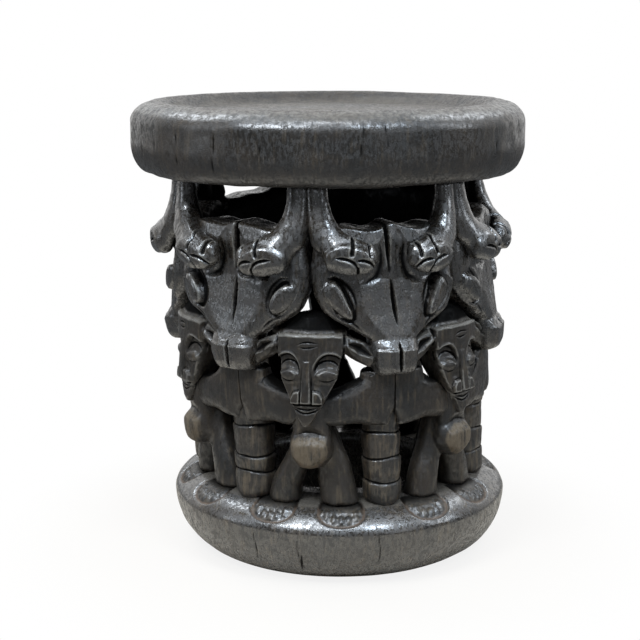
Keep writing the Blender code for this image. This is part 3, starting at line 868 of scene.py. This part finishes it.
def cut_checks(block, checks, middle, seed):
    """Narrow cracks up the side where the drying log has opened."""
    angle, radius = round_the_log(block.points, middle)
    up = block.points[:, 2] / MM
    depth = np.zeros(len(angle))
    for index, (place, low, high, deep) in enumerate(checks):
        wander = 1.2 * np.sin(up / 7.0 + seed + index * 2.1)
        across = half_turn(angle - place) * math.pi / 180 * radius / MM - wander
        share = np.clip((up - low) / (high - low), 0, 1)
        run = np.clip(np.minimum(share, 1 - share) * 5, 0, 1)
        crack = np.clip(1 - np.abs(across) / CHECK_WIDTH, 0, 1) * run
        depth = np.maximum(depth, crack * deep)
        block.mark("cut", crack)
    block.swell(-CHECK_SHARE * depth * MM)


# Seat: its rounded rim above and below, its dish, and where rim and dish begin
RIM_WIDTH, RIM_DROP = 26 * MM, 19 * MM
EDGE_WIDTH, EDGE_RISE = 18 * MM, 30 * MM
DISH_MARGIN, DISH_DEPTH, DISH_CROWN = 50 * MM, 11 * MM, 1.0 * MM
RIM_FROM, DISH_TO = 172 * MM, 166 * MM
DISH_THICKNESS = 8 * MM
SEAT_STEPS = 560
# Unevenness left by the tools: long waves, and the fine ripple on them
LONG_WAVE, LONG_WAVE_RISE = 130 * MM, 0.8 * MM
RIPPLE_RISE = 0.14 * MM
UPRIGHT = (1, 1, 0.2)


def carve_seat(material):
    """Thick dished seat with a soft rim, upright tool marks and drying cracks."""
    low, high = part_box("seat")
    radius = (high.x - low.x) / 2
    crest, dish, floor = radius - RIM_WIDTH, radius - DISH_MARGIN, high.z - DISH_DEPTH
    profile = straight((0.0, floor + DISH_CROWN), (dish, floor), 32)
    for share in np.arange(14) / 14:
        profile.append((dish + (crest - dish) * share, floor + (high.z - floor) * float(step(share))))
    profile += ellipse((crest, high.z - RIM_DROP), RIM_WIDTH, RIM_DROP, 90, 0, 22)
    profile += straight((radius, high.z - RIM_DROP), (radius, low.z + EDGE_RISE), 11)
    profile += ellipse((radius - EDGE_WIDTH, low.z + EDGE_RISE), EDGE_WIDTH, EDGE_RISE, 0, -90, 20)
    profile += straight((radius - EDGE_WIDTH, low.z), (0.0, low.z), 22)
    profile.append((0.0, low.z))
    block = turn_block(profile, (low.x + high.x) / 2, SEAT_STEPS, closed=False)
    _, out = round_the_log(block.points, 0.0)
    rim = step((out - RIM_FROM) / (12 * MM))
    block.swell(waves(block.points, 11, LONG_WAVE) * LONG_WAVE_RISE * (0.4 + 0.6 * rim))
    block.swell(waves(block.points, 14, 24 * MM, count=60) * RIPPLE_RISE * rim)
    block.swell(waves(block.points * UPRIGHT, 15, 30 * MM, count=60) * 0.3 * MM * rim)
    cut_checks(block, SEAT_CHECKS, 0.0, seed=3)
    within = step((DISH_TO - out) / (6 * MM)) * (block.points[:, 2] > floor - DISH_THICKNESS)
    block.swell(waves(block.points, 12, 26 * MM) * 0.35 * MM * within)
    block.mark("dust", within * np.clip(0.35 + 0.3 * waves(block.points, 13, 70 * MM), 0, 1))
    # Painted highlight: the up-facing rim is lightened with the worn colour
    block.mark("wear_and_highlight", step((block.normals()[:, 2] - 0.35) * 2.2) * rim * 0.55)
    block.place("seat", "seat_wood", material)


# Base: level of its widest girth, its foot, its hole, and the width and bevel of its shoulder
BASE_BELLY = 56 * MM
BASE_FOOT = 128 * MM
BASE_HOLE = 98 * MM
BASE_SHOULDER = 36 * MM
SHOULDER_BEVEL = 1.2
SHOULDER_LENGTH = 30
BASE_STEPS = 720
BASE_GRIT = 0.3 * MM
# Feet carved on the base: turn from the figure's middle in degrees, and sizes in millimetres
FOOT_TURN = 12.5
FOOT_DRIFT = -2.5
FOOT_RADIUS = 160
FOOT_OUTLINE = (
    (-21, 1), (-22.5, 12), (-21, 23), (-13, 32), (0, 35), (13, 32), (21, 23), (22.5, 12), (21, 1)
)
FOOT_DEPTH, FOOT_EARTH = 1.4, 0.30
BORDER_WIDTH, BORDER_DEPTH, BORDER_EARTH = 2.6, 2.2, 3.6
HEEL_END, HEEL_RISE = 21, 1.5
TOES = 5
TOE_PITCH, TOE_REACH, TOE_RISE = 7.0, 26.0, 2.0
TOE_SIZE = (3.0, 6.2)


def lay_out_feet(angle, onto):
    """Relief of the feet before each figure, the earth in their cuts, and the area they cover."""
    depth, earth, feet = (np.zeros(len(onto)) for _ in range(3))
    outline = curve(FOOT_OUTLINE)
    for figure in FIGURE_ANGLES:
        for side in (-1, 1):
            place = figure + FOOT_DRIFT + side * FOOT_TURN
            across = half_turn(angle - place) * math.pi / 180 * FOOT_RADIUS
            gap, _ = distance_to(outline, across, onto)
            within = inside(outline, across, onto)
            sole = step(within / 3)
            depth -= BORDER_DEPTH * np.clip(1 - gap / BORDER_WIDTH, 0, 1) ** 0.8
            depth -= FOOT_DEPTH * sole
            for toe in range(TOES):
                out = (toe - (TOES - 1) / 2) * TOE_PITCH
                reach = TOE_REACH - 0.022 * out**2 + 0.05 * out * side
                bump = 1 - ((across - out) / TOE_SIZE[0]) ** 2 - ((onto - reach) / TOE_SIZE[1]) ** 2
                depth += TOE_RISE * np.clip(bump, 0, 1) ** 0.6
            depth += HEEL_RISE * (sole * step((HEEL_END - onto) / 3))
            earth = np.maximum(earth, np.clip(1 - gap / BORDER_EARTH, 0, 1))
            earth = np.maximum(earth, FOOT_EARTH * sole)
            feet = np.maximum(feet, step(within / 3 + 1))
    return depth, earth, feet


def carve_base(material):
    """Cushion-shaped base with a pair of feet in low relief before each figure."""
    low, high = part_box("base")
    middle = (low.x + high.x) / 2
    radius = (high.x - low.x) / 2
    top_edge = radius - BASE_SHOULDER
    crown = high.z - BASE_BELLY
    profile = ellipse((BASE_FOOT, BASE_BELLY), radius - BASE_FOOT, BASE_BELLY, -90, 0, 26)
    for turn in np.radians(np.arange(40) * 90 / 40):
        out, rise = math.cos(turn) ** SHOULDER_BEVEL, math.sin(turn) ** SHOULDER_BEVEL
        profile.append((top_edge + BASE_SHOULDER * out, BASE_BELLY + crown * rise))
    profile += straight((top_edge, high.z), (BASE_HOLE, high.z), 14)
    profile += straight((BASE_HOLE, high.z), (BASE_HOLE, 0.0), 8)
    profile += straight((BASE_HOLE, 0.0), (BASE_FOOT, 0.0), 4)
    block = turn_block(profile, middle, BASE_STEPS, closed=True)
    angle, out = round_the_log(block.points, middle)
    outer = step((out - 130 * MM) / (10 * MM)) * step(block.points[:, 2] / (12 * MM))
    block.swell(waves(block.points, 21, LONG_WAVE) * LONG_WAVE_RISE * outer)
    block.swell(waves(block.points, 22, 26 * MM, count=60) * RIPPLE_RISE * outer)
    up = block.points[:, 2]
    turn = np.arctan2((up - BASE_BELLY) / crown, (out - top_edge) / BASE_SHOULDER)
    turn = np.where(out > top_edge, np.clip(turn, 0, math.pi / 2), math.pi / 2)
    onto = (math.pi / 2 - turn) * SHOULDER_LENGTH + np.where(out < top_edge, (out - top_edge) / MM, 0)
    shelf = step((onto + 26) / 3) * step((up - 30 * MM) / (8 * MM))
    depth, earth, feet = lay_out_feet(angle, onto)
    block.swell(depth * MM * shelf)
    block.mark("earth", earth * shelf)
    block.mark("warmth", feet * shelf * 0.4)
    block.mark("cut", feet * shelf * 0.5)
    floor = step((16 - onto) / 12) * shelf
    chance = np.random.default_rng(5)
    block.swell(floor * chance.normal(0, BASE_GRIT, len(out)))
    block.mark("dust", floor * 0.8)
    block.mark("cut", floor * 0.5)
    # Painted highlight: the up-facing shoulder of the base is lightened with the worn colour
    block.mark("wear_and_highlight", step((block.normals()[:, 2] - 0.25) * 2.2) * shelf * (1 - floor) * 0.3)
    cut_checks(block, BASE_CHECKS, middle, seed=9)
    block.place("base", "base_wood", material)


# Wood


class Value:
    """A shader socket that takes part in Python expressions."""

    def __init__(self, shader, socket):
        self.shader = shader
        self.socket = socket

    def maths(self, operation, first, second):
        return self.shader.node("ShaderNodeMath", {"operation": operation}, {0: first, 1: second})

    def __add__(self, other):
        return self.maths("ADD", self, other)

    def __radd__(self, other):
        return self.maths("ADD", other, self)

    def __sub__(self, other):
        return self.maths("SUBTRACT", self, other)

    def __rsub__(self, other):
        return self.maths("SUBTRACT", other, self)

    def __mul__(self, other):
        return self.maths("MULTIPLY", self, other)

    def __rmul__(self, other):
        return self.maths("MULTIPLY", other, self)


class Shader:
    """Node tree of a finish or of the surround."""

    def __init__(self, holder):
        holder.use_nodes = True
        self.tree = holder.node_tree

    def node(self, kind, settings, sockets, output=0):
        """Any node: its settings first, then its sockets' values or links."""
        made = self.tree.nodes.new(kind)
        for field, value in settings.items():
            setattr(made, field, value)
        for socket, value in sockets.items():
            self.feed(made.inputs[socket], value)
        return Value(self, made.outputs[output])

    def feed(self, socket, value):
        """Link a value to a socket, or set it there."""
        if isinstance(value, Value):
            self.tree.links.new(value.socket, socket)
        else:
            socket.default_value = value

    def mark(self, name):
        """A mark left by the carving."""
        return self.node("ShaderNodeAttribute", {"attribute_name": name}, {}, "Fac")

    def blend(self, share, first, second):
        """Mix of two colours."""
        sockets = {"Factor": share, 6: first, 7: second}
        return self.node("ShaderNodeMix", {"data_type": "RGBA"}, sockets, 2)

    def between(self, value, low, high):
        """Ramp from 0 at low to 1 at high."""
        settings = {"interpolation_type": "SMOOTHSTEP"}
        sockets = {"Value": value, "From Min": low, "From Max": high}
        return self.node("ShaderNodeMapRange", settings, sockets)

    def noise(self, place, scale, detail, rough):
        """Cloudy pattern."""
        sockets = {"Vector": place, "Scale": scale, "Detail": detail, "Roughness": rough}
        return self.node("ShaderNodeTexNoise", {}, sockets, "Fac")

    def stretch(self, place, scale):
        """Coordinates stretched along the grain."""
        return self.node("ShaderNodeMapping", {}, {"Vector": place, "Scale": scale})


# Wood: how its patterns run along the log, its gloss, and the relief of its pores
FIBRE_SCALE = (300, 300, 26)
SPECK_SCALE = (440, 440, 170)
PATINA_IOR = 2.0
COAT_IOR = 1.6
COAT_ROUGHNESS = 0.2
COAT_SHARE = 0.4
PORE_STRENGTH = 0.32
PORE_RELIEF = 0.5 * MM


def patinated_wood(name, finish, warmth, soil, polish):
    """Dark oiled wood: streaked along the log, worn and lightened as painted highlight on its edges, dusty on
    top, sooty and darkened as painted shade in its cuts and hollows.
    """
    material = bpy.data.materials.new(name)
    shader = Shader(material)
    surface = shader.tree.nodes["Principled BSDF"].inputs
    place = shader.node("ShaderNodeTexCoord", {}, {}, "Object")
    fibre = shader.noise(shader.stretch(place, FIBRE_SCALE), scale=1.0, detail=6.0, rough=0.62)
    cloud = shader.noise(place, scale=24.0, detail=5.0, rough=0.6)
    patch = shader.noise(place, scale=75.0, detail=4.0, rough=0.6)
    speck = shader.noise(shader.stretch(place, SPECK_SCALE), scale=1.0, detail=3.0, rough=0.7)
    pore = shader.noise(place, scale=210.0, detail=3.0, rough=0.65)
    glint = shader.noise(place, scale=620.0, detail=2.0, rough=0.6)
    wear_and_highlight, hollow, cut = shader.mark("wear_and_highlight"), shader.mark("hollow"), shader.mark("cut")
    dust, earth, rub = shader.mark("dust"), shader.mark("earth"), shader.mark("warmth")

    body = shader.blend(shader.between(cloud, 0.36, 0.66), (*finish.patina, 1), (*finish.heart, 1))
    streak = shader.between(fibre + (patch - 0.5) * 0.5 + rub * 0.22, 0.50, 0.74)
    body = shader.blend(streak * (rub * 0.5 + warmth), body, (*finish.warm, 1))
    # Worn edges take the lighter worn colour: partly wear, partly painted highlight
    rubbed_and_highlit = shader.between(wear_and_highlight + (pore - 0.5) * 1.2, 0.25, 0.95)
    body = shader.blend(rubbed_and_highlit * 0.7, body, (*finish.worn_and_highlight, 1))
    bloom = shader.between(pore + (speck - 0.5) * 0.5, 0.55, 0.78)
    body = shader.blend(bloom * 0.15, body, (*finish.dust, 1))
    shader.feed(surface["Base Color"], body)
    scuff = shader.between(speck + (pore - 0.5) * 0.7 + (patch - 0.5) * 0.3, 0.36, 0.58)
    dull = (1.0 - scuff) * 0.35 + (patch - 0.5) * 0.25 + rub * 0.2
    shader.feed(surface["Roughness"], dull + finish.roughness + (1.0 - polish) * 0.2)
    surface["IOR"].default_value = PATINA_IOR
    surface["Specular IOR Level"].default_value = finish.polish * (0.08 + 0.4 * polish)
    shader.feed(surface["Coat Weight"], scuff * (1.0 - rub) * (COAT_SHARE * polish * finish.polish))
    surface["Coat Roughness"].default_value = COAT_ROUGHNESS
    surface["Coat IOR"].default_value = COAT_IOR
    height = glint * 1.3 + patch * 0.8 + fibre * 0.6
    sockets = {"Strength": PORE_STRENGTH, "Distance": PORE_RELIEF, "Height": height}
    shader.feed(surface["Normal"], shader.node("ShaderNodeBump", {}, sockets))

    # Painted shade: hollows and cut marks are darkened with the soot colour, which also darkens the carved
    # feet and the base's inner shelf
    soot_and_shade = shader.between(hollow + cut * 0.8, 0.10, 0.80)
    powder = shader.between(dust + hollow * 0.2 + (speck - 0.5) * 1.1 + (patch - 0.5) * 0.5, 0.30, 0.95)
    clay = shader.between(earth + (speck - 0.5) * 0.9, 0.35, 0.95)
    wood = Value(shader, shader.tree.nodes["Principled BSDF"].outputs["BSDF"])
    layers = ((powder * soil, finish.dust), (clay * 0.6, finish.earth), (soot_and_shade * 0.95, finish.soot_and_painted_shade))
    for share, shade in layers:
        matte = shader.node("ShaderNodeBsdfDiffuse", {}, {"Color": (*shade, 1)})
        wood = shader.node("ShaderNodeMixShader", {}, {"Fac": share, 1: wood, 2: matte})
    shader.feed(shader.tree.nodes["Material Output"].inputs["Surface"], wood)
    return material


# Settings, operators and panel


class StoolCarving(bpy.types.PropertyGroup):
    """Sizes of the carving."""

    grain: bpy.props.FloatProperty(
        name="Grain", description="Size of the faces that carved surfaces are worked in", default=1.1 * MM,
        min=0.4 * MM, unit="LENGTH",
    )
    adze: bpy.props.FloatProperty(
        name="Adze marks", description="How flat the tool left each facet", default=0.35, subtype="FACTOR",
        min=0, max=1,
    )
    groove_width: bpy.props.FloatProperty(
        name="Groove width", description="Width of the groove down a beast's face", default=6.0 * MM,
        unit="LENGTH",
    )
    groove_depth: bpy.props.FloatProperty(
        name="Groove depth", description="Depth of the groove down a beast's face", default=6.5 * MM,
        unit="LENGTH",
    )
    eye_rise: bpy.props.FloatProperty(
        name="Eye rise", description="How far a beast's eye stands out past its face", default=-1.0 * MM,
        unit="LENGTH",
    )
    eye_socket: bpy.props.FloatProperty(
        name="Eye socket", description="Depth of the cut round a beast's eye", default=3.0 * MM,
        unit="LENGTH",
    )
    stipple: bpy.props.FloatProperty(
        name="Stipple", description="Height of the fine blade marks on the beasts", default=0.03 * MM,
        unit="LENGTH",
    )


def colour(name, description, default):
    """Colour setting."""
    return bpy.props.FloatVectorProperty(
        name=name, description=description, default=default, size=3, subtype="COLOR", min=0, max=1
    )


class StoolFinish(bpy.types.PropertyGroup):
    """Colours and sheen of the finish."""

    patina: colour("Patina", "Smoked and oiled surface", (0.009, 0.0078, 0.0065))
    heart: colour("Heart", "Wood showing through the patina", (0.020, 0.015, 0.0105))
    warm: colour("Warm streaks", "Fibres rubbed back to brown", (0.085, 0.064, 0.040))
    # Worn edges: partly wear, partly painted highlight on the edges
    worn_and_highlight: colour("Worn edges", "Edges polished by hands", (0.150, 0.140, 0.122))
    # Soot: mostly painted shade in cuts, hollows and inward faces; also darkens the carved feet and the
    # base's inner shelf
    soot_and_painted_shade: colour("Soot", "Bottoms of cuts", (0.003, 0.003, 0.003))
    dust: colour("Dust", "Dry dust on flat tops", (0.120, 0.108, 0.092))
    earth: colour("Earth", "Red earth in the cuts round the feet", (0.160, 0.112, 0.080))
    roughness: bpy.props.FloatProperty(
        name="Roughness", description="Roughness of the oiled surface", default=0.2, subtype="FACTOR",
        min=0, max=1,
    )
    polish: bpy.props.FloatProperty(
        name="Polish", description="Hand polish over the patina", default=0.95, subtype="FACTOR", min=0, max=1
    )


class StoolStage(bpy.types.PropertyGroup):
    """Floor and light."""

    floor: colour("Sheet", "Pale sheet under the stool", (0.50, 0.45, 0.38))
    ground: colour("Ground", "Darker floor beyond the sheet", (0.12, 0.12, 0.12))
    sheet: bpy.props.FloatProperty(
        name="Sheet size", description="Reach of the sheet", default=0.55, unit="LENGTH"
    )
    shadow: bpy.props.FloatProperty(
        name="Shadow", description="How far the stool's shadow is lightened", default=0.85, subtype="FACTOR"
    )
    floor_size: bpy.props.FloatProperty(
        name="Floor size", description="Side of the floor", default=8.0, unit="LENGTH"
    )
    sky: bpy.props.FloatProperty(
        name="Sky", description="Strength of the even light from the front", default=0.06
    )
    wall: bpy.props.FloatProperty(
        name="Wall", description="Strength of the white wall behind the stool", default=1.0
    )


class STOOL_OT_seat(bpy.types.Operator):
    """Carve the seat"""

    bl_idname = "stool.seat"
    bl_label = "Seat"

    def execute(self, context):
        scene = context.scene
        carve_seat(patinated_wood("seat_wood", scene.stool_finish, warmth=0.35, soil=0.4, polish=0.5))
        return {"FINISHED"}


class STOOL_OT_base(bpy.types.Operator):
    """Carve the base with its pairs of feet"""

    bl_idname = "stool.base"
    bl_label = "Base"

    def execute(self, context):
        scene = context.scene
        carve_base(patinated_wood("base_wood", scene.stool_finish, warmth=0.6, soil=0.75, polish=1.0))
        return {"FINISHED"}


class STOOL_OT_beast_heads(bpy.types.Operator):
    """Carve the beast heads"""

    bl_idname = "stool.beast_heads"
    bl_label = "Beast heads"

    def execute(self, context):
        scene = context.scene
        wood = patinated_wood("beast_wood", scene.stool_finish, warmth=0.35, soil=0.25, polish=0.85)
        for number in range(1, BAYS + 1):
            carve_beast_head(number, scene.stool_carving, wood)
        return {"FINISHED"}


class STOOL_OT_horns(bpy.types.Operator):
    """Carve the horns and the ears at their roots"""

    bl_idname = "stool.horns"
    bl_label = "Horns"

    def execute(self, context):
        scene = context.scene
        wood = patinated_wood("horn_wood", scene.stool_finish, warmth=0.25, soil=0.2, polish=1.0)
        for number in range(1, BAYS + 1):
            carve_horn("left", number, -1, scene.stool_carving, wood)
            carve_horn("right", number, 1, scene.stool_carving, wood)
        return {"FINISHED"}


class STOOL_OT_posts(bpy.types.Operator):
    """Carve the ringed posts"""

    bl_idname = "stool.posts"
    bl_label = "Ringed posts"

    def execute(self, context):
        scene = context.scene
        wood = patinated_wood("post_wood", scene.stool_finish, warmth=0.65, soil=0.4, polish=0.4)
        for number in range(1, BAYS + 1):
            carve_post(number, scene.stool_carving, wood)
        return {"FINISHED"}


class STOOL_OT_figures(bpy.types.Operator):
    """Carve the figures' heads, bodies and arms"""

    bl_idname = "stool.figures"
    bl_label = "Figures"

    def execute(self, context):
        scene = context.scene
        wood = patinated_wood("figure_wood", scene.stool_finish, warmth=0.5, soil=0.6, polish=0.3)
        for number in range(1, BAYS + 1):
            carve_figure_head(number, scene.stool_carving, wood)
            carve_figure_body(number, scene.stool_carving, wood)
            carve_figure_arm("left", number, scene.stool_carving, wood)
            carve_figure_arm("right", number, scene.stool_carving, wood)
        return {"FINISHED"}


# Stage: lamps with their place, width and height, power and tint, then the camera
LAMP_AIM = (0, 0, 0.23)
SKY_TINT = (0.85, 0.92, 1.0)
BLUE_TINT = (0.75, 0.87, 1.0)
LAMPS = (
    ("left_high_window", (-0.75, -1.15, 1.7), (0.7, 0.5), 34, SKY_TINT),
    ("right_high_window", (0.65, -1.15, 1.7), (0.6, 0.5), 22, BLUE_TINT),
    ("top_window", (-0.1, -0.65, 2.1), (1.2, 0.5), 22, SKY_TINT),
    ("front_window", (-0.3, -1.9, 0.72), (1.0, 0.4), 1.1, SKY_TINT),
    ("right_front_window", (1.1, -1.45, 0.7), (0.7, 0.4), 1.8, SKY_TINT),
    ("back_right_window", (1.1, 0.6, 1.7), (0.8, 0.8), 11, SKY_TINT),
    ("back_left_window", (-1.0, 0.6, 1.9), (0.8, 0.8), 18, SKY_TINT),
    ("left_window", (-1.6, -0.5, 0.8), (0.5, 1.0), 4, SKY_TINT),
    ("right_window", (1.6, -0.4, 1.1), (0.5, 1.0), 9, SKY_TINT),
)
CAMERA_PLACE = (-0.0073, -1.4543, 0.5401)
CAMERA_TILT = 78.0
CAMERA_LENS = 79.63
CAMERA_SENSOR = 36.0
SHEET_FADE = 0.7
SHADOW_FROM = 0.2


def area_lamp(name, place, size, power, tint):
    """Soft box aimed at the stool."""
    lamp = bpy.data.lights.new(name, "AREA")
    lamp.shape = "RECTANGLE"
    lamp.size, lamp.size_y = size
    lamp.energy = power
    lamp.color = tint
    item = bpy.data.objects.new(name, lamp)
    item.location = place
    item.rotation_euler = (Vector(LAMP_AIM) - Vector(place)).to_track_quat("-Z", "Y").to_euler()
    bpy.context.scene.collection.objects.link(item)


def pale_floor(settings):
    """White sheet under the stool on a darker floor; the camera sees white with a faint shadow."""
    material = bpy.data.materials.new("pale_floor")
    shader = Shader(material)
    surface = shader.tree.nodes["Principled BSDF"]
    place = shader.node("ShaderNodeTexCoord", {}, {}, "Object")
    away = shader.node("ShaderNodeVectorMath", {"operation": "LENGTH"}, {0: place}, "Value")
    beyond = shader.between(away, settings.sheet * SHEET_FADE, settings.sheet)
    shade = shader.blend(beyond, (*settings.floor, 1), (*settings.ground, 1))
    shader.feed(surface.inputs["Base Color"], shade)
    surface.inputs["Roughness"].default_value = 0.9
    surface.inputs["Specular IOR Level"].default_value = 0.0
    seen = shader.node("ShaderNodeLightPath", {}, {}, "Is Camera Ray")
    fade = shader.between(away, SHADOW_FROM, settings.sheet * SHEET_FADE)
    fade = fade * (1 - settings.shadow) + settings.shadow
    white = shader.node("ShaderNodeEmission", {}, {"Color": (1, 1, 1, 1), "Strength": 1.0})
    sheet = Value(shader, surface.outputs["BSDF"])
    mixed = shader.node("ShaderNodeMixShader", {}, {"Fac": seen * fade, 1: sheet, 2: white})
    shader.feed(shader.tree.nodes["Material Output"].inputs["Surface"], mixed)
    return material


def white_surround(settings):
    """World: white to the camera; otherwise dim before the stool, with a white wall behind it."""
    world = bpy.data.worlds.new("studio")
    bpy.context.scene.world = world
    shader = Shader(world)
    shader.tree.nodes.remove(shader.tree.nodes["Background"])
    direction = shader.node("ShaderNodeTexCoord", {}, {}, "Generated")
    depth = shader.node("ShaderNodeSeparateXYZ", {}, {"Vector": direction}, "Y")
    behind = shader.between(depth, 0.0, 0.6)
    glows = []
    for strength in (settings.sky, settings.wall, 1.0):
        sockets = {"Color": (1, 1, 1, 1), "Strength": strength}
        glows.append(shader.node("ShaderNodeBackground", {}, sockets))
    room = shader.node("ShaderNodeMixShader", {}, {"Fac": behind, 1: glows[0], 2: glows[1]})
    seen = shader.node("ShaderNodeLightPath", {}, {}, "Is Camera Ray")
    shown = shader.node("ShaderNodeMixShader", {}, {"Fac": seen, 1: room, 2: glows[2]})
    shader.feed(shader.tree.nodes["World Output"].inputs["Surface"], shown)


class STOOL_OT_stage(bpy.types.Operator):
    """Set the floor, the light and the camera"""

    bl_idname = "stool.stage"
    bl_label = "Stage"

    def execute(self, context):
        settings = context.scene.stool_stage
        mesh_builder = bmesh.new()
        bmesh.ops.create_grid(mesh_builder, x_segments=8, y_segments=8, size=settings.floor_size / 2)
        mesh = bpy.data.meshes.new("floor")
        mesh_builder.to_mesh(mesh)
        mesh_builder.free()
        mesh.materials.append(pale_floor(settings))
        floor = bpy.data.objects.new("floor", mesh)
        context.scene.collection.objects.link(floor)
        white_surround(settings)
        for lamp in LAMPS:
            area_lamp(*lamp)
        camera = bpy.data.cameras.new("camera")
        camera.lens = CAMERA_LENS
        camera.sensor_width = CAMERA_SENSOR
        viewer = bpy.data.objects.new("camera", camera)
        viewer.location = CAMERA_PLACE
        viewer.rotation_euler = (math.radians(CAMERA_TILT), 0, 0)
        context.scene.collection.objects.link(viewer)
        context.scene.camera = viewer
        context.scene.view_settings.view_transform = "Standard"
        return {"FINISHED"}


OPERATORS = (
    STOOL_OT_seat,
    STOOL_OT_base,
    STOOL_OT_beast_heads,
    STOOL_OT_horns,
    STOOL_OT_posts,
    STOOL_OT_figures,
    STOOL_OT_stage,
)


class STOOL_PT_panel(bpy.types.Panel):
    """Settings and steps of the stool"""

    bl_idname = "STOOL_PT_panel"
    bl_label = "Carved stool"
    bl_space_type = "VIEW_3D"
    bl_region_type = "UI"
    bl_category = "Stool"

    def draw(self, context):
        for settings in (context.scene.stool_carving, context.scene.stool_finish, context.scene.stool_stage):
            for field in type(settings).__annotations__:
                self.layout.prop(settings, field)
        for operator in OPERATORS:
            self.layout.operator(operator.bl_idname)


CLASSES = (StoolCarving, StoolFinish, StoolStage, *OPERATORS, STOOL_PT_panel)


def register():
    """Add the settings, steps and panel."""
    for item in CLASSES:
        bpy.utils.register_class(item)
    bpy.types.Scene.stool_carving = bpy.props.PointerProperty(type=StoolCarving)
    bpy.types.Scene.stool_finish = bpy.props.PointerProperty(type=StoolFinish)
    bpy.types.Scene.stool_stage = bpy.props.PointerProperty(type=StoolStage)


def unregister():
    """Remove them again."""
    del bpy.types.Scene.stool_carving, bpy.types.Scene.stool_finish, bpy.types.Scene.stool_stage
    for item in reversed(CLASSES):
        bpy.utils.unregister_class(item)


def main():
    """Make every piece and the stage."""
    register()
    bpy.ops.stool.seat()
    bpy.ops.stool.base()
    bpy.ops.stool.beast_heads()
    bpy.ops.stool.horns()
    bpy.ops.stool.posts()
    bpy.ops.stool.figures()
    bpy.ops.stool.stage()


if __name__ == "__main__":
    main()
